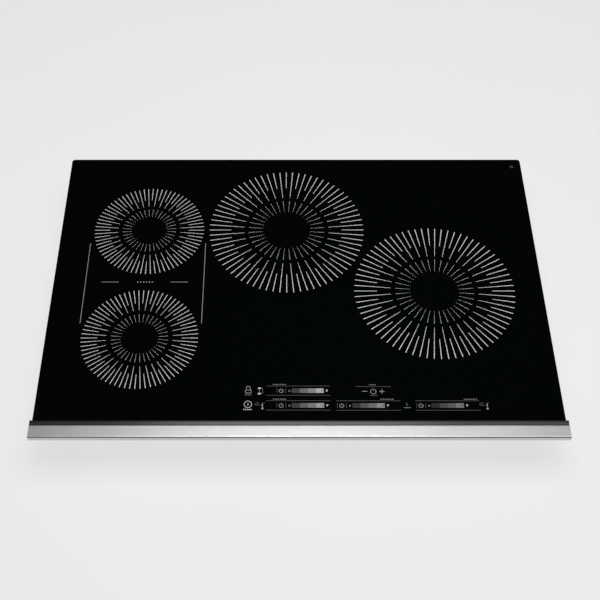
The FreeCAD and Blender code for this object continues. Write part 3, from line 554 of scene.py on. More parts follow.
COPPER = stranded_copper()
MICA = mica_finish()
CARRIER = plain_finish("fibre_filled_carrier", (0.085, 0.088, 0.092), (0.13, 0.133, 0.138),
                       (0.5, 0.62), grain=70.0, bump=(0.35, 0.06))
SENSOR = plain_finish("sensor_ceramic", (0.72, 0.71, 0.68), (0.82, 0.81, 0.78), (0.3, 0.42),
                      grain=90.0, bump=(0.15, 0.03))
ZONE_NAMES = ("left_rear", "left_front", "centre_rear", "right_front")
zone_middle = {}
for zone in ZONE_NAMES:
    sensor_low, sensor_high = cad_limits("heat_sensor_" + zone)
    zone_middle[zone] = (sensor_low[:2] + sensor_high[:2]) / 2
    dress(CARRIER, "coil_carrier_" + zone)
    dress(COPPER, "coil_winding_" + zone)
    dress(FERRITE, "ferrite_bars_" + zone)
    dress(MICA, "mica_sheet_" + zone)
    dress(SENSOR, "heat_sensor_" + zone)


# ---- Carrier springs -----------------------------------------------------------------
# Round each guide post a spring of round wire holds its coil up close under the glass. Its end
# turns lie close together. The real spring shortens when the coil is pressed down; here it
# rides with its coil as one rigid piece.

SPRING_RADIUS = 4.2
SPRING_WIRE = 0.6
SPRING_TURNS = (0.0, 1.0, 4.0, 5.0)
SPRING_CLOSED = 1.25
EAR_REACH = 7.0
EAR_ANGLES = (30, 150, 270)
SPRING_STEEL = plain_finish("spring_wire", (0.30, 0.31, 0.33), (0.46, 0.47, 0.49), (0.2, 0.32),
                            {"Metallic": 1.0}, grain=80.0, bump=(0.15, 0.02), drawn=(1, 1, 4))


def wound_wire(middle, low, high):
    """A circle carried along a helix: at turn t it stands at angle 2 pi t about the axis, and it
    climbs slowly in the first and last turn and evenly in the turns between."""
    turn = np.linspace(0.0, SPRING_TURNS[-1], int(SPRING_TURNS[-1] * 28) + 1)[:, None]
    climb = high - low - 2 * SPRING_WIRE
    level = low + SPRING_WIRE + np.interp(turn, SPRING_TURNS,
                                          (0.0, SPRING_CLOSED, climb - SPRING_CLOSED, climb))
    roll = np.linspace(0.0, 2 * math.pi, 10, endpoint=False)[None, :]
    reach = SPRING_RADIUS + SPRING_WIRE * np.cos(roll)
    angle = 2 * math.pi * turn
    points = np.stack((middle[0] + reach * np.cos(angle), middle[1] + reach * np.sin(angle),
                       level + SPRING_WIRE * np.sin(roll)), axis=-1)
    return capped_grid(list(points))


for zone in ZONE_NAMES:
    spring_low, spring_high = cad_limits("carrier_springs_" + zone)
    mica_low, mica_high = cad_limits("mica_sheet_" + zone)
    reach = (mica_high[0] - mica_low[0]) / 2 + EAR_REACH
    wound = []
    for turn in np.radians(EAR_ANGLES):
        ear = zone_middle[zone] + reach * np.array((math.cos(turn), math.sin(turn)))
        wound.append(wound_wire(ear, spring_low[2], spring_high[2]))
    springs = make_piece("carrier_spring_set_" + zone, *joined(wound), SPRING_STEEL, "spring_steel",
                         "coil_unit_" + zone)
    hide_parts("carrier_springs_" + zone)
    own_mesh(springs)


# ---- Control tub ---------------------------------------------------------------------
# A pale moulded tub on the tray holds the touch board close under the glass.

dress(PALE_PLASTIC, "control_housing")


# ---- Bonding bead and worktop gasket -------------------------------------------------
# The glass sits in a bead of black silicone on the flange. Under the flange runs a closed
# frame of foam tape, pressed on before the cooktop is dropped into the worktop.

BEAD_BREADTH, BEAD_ROUNDNESS = 8.0, 0.6
GASKET_BREADTH, GASKET_ROUNDNESS = 7.0, 0.35
FRAME_CORNER = 9.0


def band_round(node, breadth, roundness):
    """A closed frame with a rounded section: outline moved out by half the breadth times
    sgn(cos t) * |cos t|^p, at the middle height plus half the height times the same of sin t."""
    low, high = cad_limits(node)
    turn = np.linspace(0, 2 * math.pi, 16, endpoint=False)
    sideways = np.sign(np.cos(turn)) * np.abs(np.cos(turn)) ** roundness
    upward = np.sign(np.sin(turn)) * np.abs(np.sin(turn)) ** roundness
    rings = []
    for out, up in zip(sideways, upward):
        inset = breadth / 2 * (1 - out)
        ring = rounded_outline(low[:2] + inset, high[:2] - inset, FRAME_CORNER - inset)
        rings.append(at_level(ring, (low[2] + high[2]) / 2 + up * (high[2] - low[2]) / 2))
    return np.concatenate(rings), loop_faces(len(rings), len(ring), rows_close=True)


SILICONE = plain_finish("black_silicone", (0.010, 0.010, 0.010), (0.018, 0.018, 0.018), (0.38, 0.5))
FOAM = plain_finish("grey_foam_tape", (0.045, 0.045, 0.047), (0.075, 0.075, 0.078), (0.85, 0.95),
                    grain=90.0, bump=(0.6, 0.15))
bead = make_piece("silicone_bead", *band_round("bonding_bead", BEAD_BREADTH, BEAD_ROUNDNESS),
                  SILICONE, "silicone")
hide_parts("bonding_bead")
gasket = make_piece("foam_gasket", *band_round("worktop_gasket", GASKET_BREADTH, GASKET_ROUNDNESS),
                    FOAM, "foam")
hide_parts("worktop_gasket")


# ---- Glass panel ---------------------------------------------------------------------
# Ceramic glass, 4 mm thick, black all through. It is cut, its corners are rounded and both
# edges of its rim are ground round, then it is glued to the flange of the burner box.

def glass_finish():
    """Deep black with a faint wiped haze; only its gloss changes over the surface."""
    material, shader, place = new_finish("black_ceramic_glass", {
        "Base Color": tint(0.0009, 0.0021, 0.0017), "IOR": 1.5})
    wiped = place.stretched(1.0, 2.2, 1.0).noise(5.0, 4.0, 0.6).between(0.45, 0.8)
    specks = place.noise(900.0, 1.0).between(0.62, 0.75)
    place.feed(shader.inputs["Roughness"], wiped * 0.03 + specks * 0.015 + 0.03)
    place.feed(shader.inputs["Normal"], place.noise(60.0, 1.0).bump(0.03, 0.02))
    return material


GLASS_CORNER = 5.0
GLASS_EDGE = 0.7
FACE_RING = 0.8
glass_low, glass_high = cad_limits("glass_top")
glass_level = glass_high[2]


def ground_plate(low, high, corner, edge):
    """A plate whose rim is rounded above and below: each level is the outline drawn in by the
    distance edge * (1 - cos t) at height edge * sin t, for t from the rim to the face. A last
    ring just inside each face keeps the face's own shading flat."""
    sweep = np.linspace(0.0, math.pi / 2, 7)
    drawn_in = edge * (1 - np.cos(sweep))
    rise = edge * np.sin(sweep)
    levels = [(edge + FACE_RING, low[2])]
    levels += [(inset, low[2] + edge - up) for inset, up in zip(drawn_in[::-1], rise[::-1])]
    levels += [(inset, high[2] - edge + up) for inset, up in zip(drawn_in, rise)]
    levels += [(edge + FACE_RING, high[2])]
    return capped_grid([
        at_level(rounded_outline(low[:2] + inset, high[:2] - inset, corner - inset), level)
        for inset, level in levels])


glass = make_piece("glass_panel", *ground_plate(glass_low, glass_high, GLASS_CORNER, GLASS_EDGE),
                   glass_finish(), "glass")
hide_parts("glass_top")


# ---- Cooking zone marks --------------------------------------------------------------
# Each zone is screen printed in pale enamel as rays about its centre: 36 short inner rays,
# 36 long ones in line with them and 36 shorter ones between. Every ray widens outwards.

INK_THICK = 0.04
RAY_COUNT = 36
RAY_START = 0.2
RAY_TONE = 0.86


def ink_finish():
    """Fired enamel ink: each stroke has its own tone, a fine dot screen and a dull surface."""
    material, shader, place = new_finish("fired_enamel_ink", {"IOR": 1.45, "Specular IOR Level": 0.25})
    tone = place.node("ShaderNodeAttribute", {"attribute_name": "tone"}, None, 2)
    uneven = place.noise(40.0, 3.0).between(0.35, 0.7)
    screen = place.cells(1500.0).between(0.25, 0.75)
    weave = 1.0 - (uneven * 0.5 + screen * 0.5) * 0.16
    place.feed(shader.inputs["Base Color"],
               (tone * weave).blend(tint(0.0, 0.0, 0.0), tint(1.0, 1.0, 0.985)))
    place.feed(shader.inputs["Roughness"], uneven * 0.1 + 0.28)
    place.feed(shader.inputs["Normal"], screen.bump(0.15, 0.02))
    return material


INK = ink_finish()


def ink_piece(name, strokes, level=glass_level):
    """Thin prints on the glass. A stroke is a centreline in plan with a width at each point, a
    flag for a closed loop and a tone; its edges lie half a width to each side of the line."""
    points = []
    faces = []
    tones = []
    first = 0
    for line, width, closed, tone in strokes:
        line = np.asarray(line, dtype=float)
        count = len(line)
        width = np.broadcast_to(np.asarray(width, dtype=float), (count,))
        if closed:
            ahead = np.roll(line, -1, axis=0) - np.roll(line, 1, axis=0)
        else:
            ahead = np.gradient(line, axis=0)
        ahead /= np.linalg.norm(ahead, axis=1)[:, None]
        aside = np.column_stack((-ahead[:, 1], ahead[:, 0])) * width[:, None] / 2
        for edge, height in ((line + aside, 0.0), (line - aside, 0.0),
                             (line - aside, INK_THICK), (line + aside, INK_THICK)):
            points.append(np.column_stack((edge, np.full(count, level + height))))
        quads = np.array(loop_faces(4, count, rows_close=True, columns_close=closed)) + first
        faces += quads.tolist()
        if not closed:
            faces.append([first, first + count, first + 2 * count, first + 3 * count])
            faces.append([first + count - 1 + step * count for step in range(4)])
        tones += [tone] * (4 * count)
        first += 4 * count
    return make_piece(name, np.concatenate(points), faces, INK, "glass", crease=20.0, tone=tones)


def zone_rays(centre, bands, rim, width):
    """Rays about a centre. A band is an inner and an outer radius and the first ray's angle in
    steps of ten degrees. A ray's width grows evenly from a fifth of the rim's radius outwards."""
    strokes = []
    for inner, outer, start in bands:
        radius = np.linspace(inner, outer, 3)
        breadth = width * (radius / rim - RAY_START) / (1 - RAY_START)
        for number in range(RAY_COUNT):
            angle = (number + start) * 2 * math.pi / RAY_COUNT
            line = centre + radius[:, None] * np.array((math.cos(angle), math.sin(angle)))
            strokes.append((line, breadth, False, RAY_TONE))
    return strokes


SMALL_RIM, LARGE_RIM = 89.2, 125.9
SMALL_ZONE = (((28.2, 43.6, 0.5), (51.0, SMALL_RIM, 0.5), (64.3, SMALL_RIM, 0.0)), SMALL_RIM, 1.10)
LARGE_ZONE = (((38.3, 61.8, 0.5), (69.0, LARGE_RIM, 0.5), (90.5, LARGE_RIM, 0.0)), LARGE_RIM, 1.26)
ZONES = {"left_rear": SMALL_ZONE, "left_front": SMALL_ZONE,
         "centre_rear": LARGE_ZONE, "right_front": LARGE_ZONE}
for zone, (bands, rim, width) in ZONES.items():
    ink_piece("zone_marks_" + zone, zone_rays(zone_middle[zone], bands, rim, width))


# ---- Bridge mark ---------------------------------------------------------------------
# Where the two left zones work as one, a long line runs down each side of them and a broken
# line crosses between them. Printed with the zones, in the same enamel but finer.

BRIDGE_SIDES = (-335.0, -148.3)
BRIDGE_ENDS = (84.6, -71.7)
BRIDGE_LINE = 0.95
BRIDGE_CROSS = 6.9
DASH_STARTS = (-310.1, -200.7)
DASH_LENGTH, DASH_WIDTH = 27.5, 0.9
DOT_RUN, DOT_PITCH = (-253.0, -228.0), 4.6
DOT_LENGTH, DOT_WIDTH = 1.7, 1.9
BRIDGE_TONE, DOT_TONE = 0.36, 0.5


def bar(start, end, width, tone):
    return ((start, end), width, False, tone)


bridge = [bar((x, BRIDGE_ENDS[0]), (x, BRIDGE_ENDS[1]), BRIDGE_LINE, BRIDGE_TONE)
          for x in BRIDGE_SIDES]
bridge += [bar((start, BRIDGE_CROSS), (start + DASH_LENGTH, BRIDGE_CROSS), DASH_WIDTH, BRIDGE_TONE)
           for start in DASH_STARTS]
bridge += [bar((start, BRIDGE_CROSS), (start + DOT_LENGTH, BRIDGE_CROSS), DOT_WIDTH, DOT_TONE)
           for start in np.arange(*DOT_RUN, DOT_PITCH)]
ink_piece("bridge_marks", bridge)


# ---- Touch controls ------------------------------------------------------------------
# Printed in the same enamel over the touch board: four power sliders, a timer, a lock, a main
# switch and smaller signs. All are plain pictograms, and rows of dashes stand for words.

def arc(centre, radius, first, last, width, tone, steps=28):
    """Part of a circle between two angles in degrees, or a whole one when they span a turn."""
    whole = abs(last - first) >= 360
    angle = np.radians(np.linspace(first, last, steps, endpoint=not whole))
    line = np.column_stack((centre[0] + radius * np.cos(angle), centre[1] + radius * np.sin(angle)))
    return (line, width, whole, tone)


def disc(centre, radius, tone):
    """A filled circle: a stroke along its diameter as wide as the chord at each point."""
    along = np.linspace(-0.995, 0.995, 11) * radius
    line = np.column_stack((centre[0] + along, np.full(len(along), centre[1])))
    return (line, 2 * np.sqrt(radius ** 2 - along ** 2), False, tone)


def wedge(point, base, width, tone):
    """A triangle from a sharp point to a base of some width."""
    return ((point, base), (0.15, width), False, tone)


def dashes(start, end, level, height, count, tone):
    """A row of short dashes that stands for a printed word."""
    pitch = (end - start) / count
    return [bar((start + pitch * number, level), (start + pitch * (number + 0.62), level), height, tone)
            for number in range(count)]


def set_at(place, strokes):
    """Strokes drawn about the origin, moved to their place on the glass."""
    return [(np.asarray(line) + place, width, closed, tone) for line, width, closed, tone in strokes]


RULE_TONE = 0.066
RULE_WIDTH = 0.95
RULE_RISE = 7.9
LABEL_TONE = 0.25
LABEL_LENGTH = 20.4
SLIDER_LENGTH = 93.8
TICK_PLACES, TICK_HALF = (1.6, 14.7), 4.2
SIGN_PLACE, SIGN_RADIUS, SIGN_LINE, SIGN_TONE = (7.9, -0.3), 3.0, 1.0, 0.30
FIRST_STEP = 23.4
STEP_LENGTH, STEP_HEIGHT, STEP_GAP = 11.8, 7.6, 0.1
STEP_TONES = np.array((0.055, 0.175, 0.30, 0.54))


def slider(inset, label, share):
    """One slider from its left end: rules above and below with a word over them, an on-off sign
    between two ticks, and a bar of four steps, each brighter, between two arrowheads."""
    strokes = [bar((0.0, rise), (SLIDER_LENGTH, rise), RULE_WIDTH, RULE_TONE)
               for rise in (RULE_RISE, -RULE_RISE)]
    strokes += [bar((inset + tick, TICK_HALF), (inset + tick, -TICK_HALF), 0.8, RULE_TONE)
                for tick in TICK_PLACES]
    sign = (inset + SIGN_PLACE[0], SIGN_PLACE[1])
    strokes.append(arc(sign, SIGN_RADIUS, 120, 420, SIGN_LINE, SIGN_TONE))
    strokes.append(bar((sign[0], sign[1] + 4.2), (sign[0], sign[1] + 0.6), SIGN_LINE, SIGN_TONE))
    strokes.append(wedge((inset + 18.6, 1.2), (inset + 20.6, -1.4), 3.0, 0.28))
    strokes.append(wedge((inset + 74.6, -2.2), (inset + 75.4, 1.6), 3.4, 0.62))
    for number, tone in enumerate(STEP_TONES * share):
        near = inset + FIRST_STEP + STEP_LENGTH * number
        strokes.append(bar((near, 0.0), (near + STEP_LENGTH - STEP_GAP, 0.0), STEP_HEIGHT, tone))
    return strokes + dashes(label, label + LABEL_LENGTH, RULE_RISE + 2.5, 1.5, 6, LABEL_TONE)


# Each slider: its left end on the glass, the inset of its sign, its word and its brightness.
SLIDERS = {"left_rear": ((-47.8, -190.8), 13.9, 9.8, 1.0),
           "left_front": ((-47.8, -215.5), 13.9, 9.9, 0.76),
           "centre_rear": ((54.3, -215.7), 0.1, 65.2, 0.60),
           "right_front": ((169.9, -215.7), 0.0, 71.5, 0.41)}
for zone, (place, inset, label, share) in SLIDERS.items():
    ink_piece("slider_marks_" + zone, set_at(place, slider(inset, label, share)))
    dot = (inset + FIRST_STEP + STEP_LENGTH * 4 - 2.6, 0.0)
    ink_piece("slider_dot_" + zone, set_at(place, [disc(dot, 1.05, 0.02)]), glass_level + INK_THICK)

# Lock: a body in outline with a shackle over it, about the middle of the body's foot.
LOCK_PLACE = (-74.3, -194.9)
LOCK_TONE, LOCK_LINE = 0.47, 0.72
LOCK_HEIGHT, LOCK_HALF, SHACKLE_HALF = 5.2, 4.1, 3.1
lock = [arc((0.0, LOCK_HEIGHT + 2.9), SHACKLE_HALF, 0, 180, LOCK_LINE, LOCK_TONE)]
lock += [bar((-LOCK_HALF - 0.3, level), (LOCK_HALF + 0.3, level), LOCK_LINE, LOCK_TONE)
         for level in (0.0, LOCK_HEIGHT)]
for side in (-1, 1):
    wall_x = LOCK_HALF * side
    shackle_x = SHACKLE_HALF * side
    lock.append(bar((wall_x, 0.0), (wall_x, LOCK_HEIGHT), LOCK_LINE, LOCK_TONE))
    lock.append(bar((shackle_x, LOCK_HEIGHT), (shackle_x, LOCK_HEIGHT + 3.0), LOCK_LINE, LOCK_TONE))
lock += dashes(-4.7, 5.0, -3.1, 1.2, 4, LABEL_TONE)
ink_piece("lock_mark", set_at(LOCK_PLACE, lock))

# Sand glass in two halves that stand just apart, with a bracket on its right.
SAND_PLACE = (-57.9, -191.3)
sand = [wedge((0.0, 0.1), (0.0, 4.0), 2.6, 0.30),
        wedge((0.0, -0.1), (0.0, -4.0), 2.6, 0.30),
        bar((4.7, -4.0), (4.7, 4.0), 0.6, 0.24)]
for side in (-1, 1):
    sand.append(bar((-2.2, 4.7 * side), (2.2, 4.7 * side), 2.1, 0.9))
    sand.append(bar((3.1, 4.0 * side), (4.9, 4.0 * side), 0.6, 0.24))
ink_piece("sand_glass_mark", set_at(SAND_PLACE, sand))

# Main switch: a ring with a solid bar in it.
SWITCH_PLACE = (-74.4, -213.8)
SWITCH_TONE = 0.72
switch = [arc((0.0, 0.0), 5.4, 0, 360, 0.9, SWITCH_TONE, 40),
          bar((0.0, 2.2), (0.0, -2.0), 1.3, 0.5)]
switch += dashes(-6.4, 6.3, -8.5, 1.7, 5, SWITCH_TONE)
ink_piece("main_switch_mark", set_at(SWITCH_PLACE, switch))


def probe(tone, faint):
    """A thermometer with a pan in outline on its left."""
    return [bar((-10.8, 0.9), (-2.0, 0.9), 0.65, faint),
            bar((-10.8, 3.4), (-10.8, 0.9), 0.65, faint),
            bar((-10.8, 3.4), (-8.8, 3.4), 0.65, faint),
            arc((-6.6, 3.6), 1.6, 20, 200, 0.7, faint, 10),
            bar((0.0, 4.0), (0.0, -4.0), 1.1, tone),
            disc((0.0, -4.6), 1.6, tone),
            bar((0.0, 4.0), (3.0, 4.4), 0.8, faint)]


ink_piece("probe_mark_left", set_at((-53.3, -215.9), probe(0.50, 0.14)))
ink_piece("probe_mark_right", set_at((274.2, -216.2), probe(0.42, 0.13)))

# Timer: minus, clock and plus under a rule, about the middle of the clock.
TIMER_PLACE = (109.4, -192.1)
TIMER_TONE, TIMER_LINE, CLOCK_LINE = 0.42, 0.85, 0.7
timer = [bar((-26.0, 8.2), (26.2, 8.2), TIMER_LINE, 0.09),
         bar((-16.2, 0.1), (-8.8, 0.1), TIMER_LINE, TIMER_TONE),
         bar((9.0, 0.0), (16.8, 0.0), TIMER_LINE, TIMER_TONE),
         bar((12.9, 3.8), (12.9, -3.8), TIMER_LINE, TIMER_TONE),
         arc((0.0, 0.0), 4.1, 112, 428, CLOCK_LINE, TIMER_TONE),
         bar((0.0, 0.7), (0.0, 5.1), CLOCK_LINE, TIMER_TONE),
         bar((-5.1, -6.8), (5.7, -6.8), 0.9, 0.12)]
timer += dashes(-5.2, 5.0, 11.4, 1.4, 4, LABEL_TONE)
ink_piece("timer_marks", set_at(TIMER_PLACE, timer))

# Level sign: an upright with a short foot, over a line.
ink_piece("level_mark", set_at((157.1, -215.9), [bar((-0.1, 4.5), (0.2, 0.3), 0.7, 0.24),
                                                 bar((0.0, 0.0), (1.8, 0.0), 0.6, 0.24),
                                                 bar((-4.8, -3.4), (5.6, -3.4), 0.85, 0.27)]))

# Register mark near the right rear corner: a ring with a dot in it and a smaller dot beside.
ink_piece("register_mark", set_at((369.4, 251.5), [arc((0.0, 0.0), 2.0, 0, 360, 1.7, 0.09, 24),
                                                   disc((0.0, 0.0), 0.5, 0.05),
                                                   disc((6.8, -2.4), 0.8, 0.05)]))


# ---- Front trim ----------------------------------------------------------------------
# One strip of stainless sheet, brushed along its length. It is folded down at the front over
# a small radius, its two ends are closed, and its rear leg stands on the flange.

TRIM_SHEET = 0.8
TIGHT_BEND = 1.2
WIDE_BEND = 3.4
BEND_JOIN = 120
REAR_BEND = 0.5
HEM_RADIUS = 2.4
HEM_CLEAR = 1.2
HEM_MARGIN = 0.6
FLAT_MARGIN = 0.8
END_MARGIN = 2.0
EDGE_BEVEL = 0.35
trim_low, trim_high = cad_limits("front_trim")
seal_low, seal_high = cad_limits("trim_seal")
flange_level = seal_low[2]


def steel_finish():
    """Stainless brushed along X: fine lines in its height, tone and gloss, a few longer marks."""
    material, shader, place = new_finish("brushed_stainless", {"Metallic": 1.0})
    fine = place.stretched(6.0, 2600.0, 2600.0).noise(1.0, 3.0, 0.7)
    broad = place.stretched(1.6, 260.0, 260.0).noise(1.0, 2.0)
    long_marks = place.stretched(3.0, 900.0, 900.0).noise(1.0, 1.0).between(0.66, 0.72)
    handled = place.noise(9.0, 3.0).between(0.4, 0.75)
    tone = (fine * 0.6 + broad * 0.4).between(0.3, 0.7)
    place.feed(shader.inputs["Base Color"],
               tone.blend(tint(0.52, 0.518, 0.508), tint(0.64, 0.637, 0.625)))
    place.feed(shader.inputs["Roughness"], fine * 0.1 + handled * 0.04 + long_marks * 0.05 + 0.30)
    place.feed(shader.inputs["Normal"], fine.bump(0.5, 0.04))
    return material


def corner_arc(centre, radius, first, last, steps):
    """Points of an arc in the plane of a profile, between two angles in degrees."""
    angle = np.radians(np.linspace(first, last, steps))
    return np.column_stack((centre[0] + radius * np.cos(angle), centre[1] + radius * np.sin(angle)))


def carried_across(profile, ends):
    """A profile of depth and height carried straight along X, with a row at each given x."""
    return [np.column_stack((np.full(len(profile), x), profile)) for x in ends]


def bevel_edges(piece, width):
    """A small round bevel on the edges that stand sharp."""
    bevel = piece.modifiers.new("edges", "BEVEL")
    bevel.width = width / METRE
    bevel.segments = 2
    bevel.limit_method = "ANGLE"
    bevel.angle_limit = math.radians(40)


def front_trim():
    """Outside of the folded strip: up the rear leg, over the deck, round the front edge with a
    tight arc that runs into a wider one, down the face and under by a hem. End plates close it."""
    front, back = trim_low[1], trim_high[1]
    top, bottom = trim_high[2], trim_low[2] + HEM_CLEAR
    join = math.radians(BEND_JOIN)
    step = (TIGHT_BEND - WIDE_BEND) * np.array((math.cos(join), math.sin(join)))
    tight = np.array((front + WIDE_BEND - step[0], top - TIGHT_BEND))
    profile = np.concatenate((
        ((back, flange_level),),
        corner_arc((back - REAR_BEND, top - REAR_BEND), REAR_BEND, 0, 90, 4),
        ((back - REAR_BEND - FLAT_MARGIN, top), (tight[0] + FLAT_MARGIN, top)),
        corner_arc(tight, TIGHT_BEND, 90, BEND_JOIN, 4),
        corner_arc(tight + step, WIDE_BEND, BEND_JOIN, 180, 9)[1:],
        ((front, bottom + HEM_RADIUS + HEM_MARGIN),),
        corner_arc((front + HEM_RADIUS, bottom + HEM_RADIUS), HEM_RADIUS, 180, 250, 5)))
    between = np.linspace(trim_low[0] + END_MARGIN, trim_high[0] - END_MARGIN, 9)
    rows = carried_across(profile, (trim_low[0], *between, trim_high[0]))
    count = len(profile)
    faces = loop_faces(len(rows), count, columns_close=False)
    faces.append(list(range(count)))
    faces.append(list(range((len(rows) - 1) * count, len(rows) * count)))
    return np.concatenate(rows), faces


trim = make_piece("steel_front_trim", *front_trim(), steel_finish(), "stainless")
give_thickness(trim, TRIM_SHEET, -1.0)
bevel_edges(trim, EDGE_BEVEL)
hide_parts("front_trim")


# ---- Seal between trim and glass -----------------------------------------------------
# Black extruded strip with a satin skin. It fills the joint, laps over the front edge of the
# glass and leaves a narrow groove beside the steel; the ends are cut square.

SEAL_GROOVE = 0.9
GROOVE_DEEP = 2.6
GROOVE_EASE = 0.2
SEAL_INSET = 0.4
SEAL_EDGE = 0.35
SEAL_FALL = 0.55
SEAL_CURVE = 1.4
SLOPE_MARGIN = 0.6
SEAL = plain_finish("black_extruded_strip", (0.003, 0.003, 0.003), (0.007, 0.007, 0.007), (0.19, 0.25),
                    {"Specular IOR Level": 0.36}, grain=12.0, bump=(0.15, 0.02), drawn=(0.2, 3, 3))


def seal_strip():
    """Cross-section of the strip: a stem down to the flange, a lip over the glass whose top falls
    towards the steel by SEAL_FALL times a power of the way across, and a groove at the steel."""
    front, back = seal_low[1], seal_high[1] - SEAL_INSET
    bottom, top = seal_low[2], seal_high[2]
    stem = glass_low[1]
    lip = front + SEAL_GROOVE
    floor = top - GROOVE_DEEP
    run = np.linspace(0.0, 1.0, 8)
    slope = np.column_stack((back - SLOPE_MARGIN + run * (lip + SLOPE_MARGIN - back),
                             top - SEAL_FALL * run ** SEAL_CURVE))
    profile = np.concatenate((
        ((front, bottom), (stem, bottom), (stem, glass_level), (back, glass_level)),
        corner_arc((back - SEAL_EDGE, top - SEAL_EDGE), SEAL_EDGE, 0, 90, 4),
        slope,
        ((lip - GROOVE_EASE / 2, slope[-1][1] - 0.3), (lip - GROOVE_EASE, floor),
         (front + GROOVE_EASE, floor), (front, floor + GROOVE_EASE))))
    return capped_grid(carried_across(profile, np.linspace(seal_low[0], seal_high[0], 9)))


seal = make_piece("black_seal_strip", *seal_strip(), SEAL, "seal", crease=25.0)
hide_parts("trim_seal")


# ---- Hold-down clamps ----------------------------------------------------------------
# On each side a zinc plated bracket is screwed to the box. A threaded stud runs through its
# arm and lifts a plastic pad against the underside of the worktop.

BRACKET_THICK = 2.0
BRACKET_CORNER = 4.0
BRACKET_FILLET = 2.5
ARM_LOW, ARM_HIGH = 14.0, 17.0
ARM_HALF, ARM_CORNER = 12.0, 3.0
THREAD_PITCH = 1.0
THREAD_DEPTH = 0.45
THREAD_RUN_OUT = 1.5
STUD_RADIUS, STUD_STEPS = 3.0, 24
STUD_CHAMFER = (0.7, 0.6)
TIP_RADIUS, TIP_LENGTH, TIP_CHAMFER = 2.0, 2.5, 0.4
SLOT_BREADTH, SLOT_REACH = 1.2, 5.0


def turned(profile, steps, flats=1):
    """A closed shape turned about Z: each profile row is a radius and a height, and a third
    value of one makes that row a polygon with the given number of flats."""
    angle = np.linspace(0, 2 * math.pi, steps, endpoint=False)
    rings = []
    for row in profile:
        radius = np.full(steps, float(row[0]))
        if len(row) > 2 and row[2]:
            sector = 2 * math.pi / flats
            radius = row[0] / np.cos((angle + sector / 2) % sector - sector / 2)
        rings.append(np.column_stack((radius * np.cos(angle), radius * np.sin(angle),
                                      np.full(steps, float(row[1])))))
    return capped_grid(rings)


def threaded_stud(low, high):
    """A stud about Z: its radius less the thread's depth times a triangle wave of height over
    pitch minus turn, with a chamfered lower end and a plain round tip at its upper end."""
    angle = np.linspace(0, 2 * math.pi, STUD_STEPS, endpoint=False)
    start, shoulder = low + STUD_CHAMFER[1], high - TIP_LENGTH
    heights = np.arange(start, shoulder - TIP_CHAMFER, THREAD_PITCH / 6)
    wave = np.abs(((heights[:, None] / THREAD_PITCH - angle[None, :] / (2 * math.pi)) % 1.0) * 2 - 1)
    run_out = (np.clip((heights - start) / THREAD_RUN_OUT, 0, 1)
               * np.clip((shoulder - TIP_CHAMFER - heights) / THREAD_RUN_OUT, 0, 1))
    reach = STUD_RADIUS - THREAD_DEPTH * (1 - run_out[:, None] * (1 - wave))
    body = np.stack((reach * np.cos(angle), reach * np.sin(angle),
                     np.broadcast_to(heights[:, None], reach.shape)), axis=-1)

    def ring(size, level):
        return np.column_stack((size * np.cos(angle), size * np.sin(angle), np.full(STUD_STEPS, level)))

    return capped_grid([ring(STUD_RADIUS - STUD_CHAMFER[0], low), *body,
                        ring(TIP_RADIUS + TIP_CHAMFER, shoulder),
                        ring(TIP_RADIUS, shoulder + TIP_CHAMFER),
                        ring(TIP_RADIUS, high - TIP_CHAMFER), ring(TIP_RADIUS - TIP_CHAMFER, high)])


def pan_head(radius, thick, shank, length):
    """A pan head screw about Z: a domed head with a six-sided recess, and a plain shank."""
    dome = np.radians(np.linspace(0, 68, 5))
    profile = [(0.9, thick * 0.45, 1), (1.25, thick * 0.98, 1), (1.6, thick)]
    profile += [(radius - (radius - 1.9) * (1 - math.sin(turn)) ** 1.5 * 0.9 - 0.05,
                 thick * math.cos(turn) ** 0.9) for turn in dome[1:]]
    profile += [(radius, thick * 0.22), (radius, 0.0), (shank, 0.0), (shank, -length + 0.8),
                (shank * 0.45, -length)]
    return turned(profile, 36, 6)


def laid_on_x(points, sign, place):
    """Turns a shape about Z so that its axis points outwards along X, and puts it in place."""
    laid = np.column_stack((points[:, 2] * sign, points[:, 0] * sign, points[:, 1]))
    return laid + np.asarray(place)


def bracket_shape(sign):
    """A plate with rounded corners against the box, and an arm with a rounded end that turns
    out of it, thickened at the root by the inside of the bend."""
    face = box_half + BRACKET_THICK
    plate = rounded_outline(bracket_low[1:], bracket_high[1:], BRACKET_CORNER)
    shapes = [prism(plate, *sorted((box_half * sign, face * sign)), 0)]
    edges = sorted((box_half * sign, bracket_high[0] * sign))
    arm = rounded_outline((edges[0], clamp_y - ARM_HALF), (edges[1], clamp_y + ARM_HALF), ARM_CORNER)
    shapes.append(prism(arm, ARM_LOW, ARM_HIGH, 2))
    bend = corner_arc((BRACKET_FILLET, BRACKET_FILLET), BRACKET_FILLET, 180, 270, 6)
    bend = np.concatenate((((0.0, 0.0),), bend))
    for up, root in ((1, ARM_HIGH), (-1, ARM_LOW)):
        fillet = np.column_stack(((face + bend[:, 0]) * sign, root + bend[:, 1] * up))
        shapes.append(prism(fillet, clamp_y - ARM_HALF + 1, clamp_y + ARM_HALF - 1, 1))
    return joined(shapes)


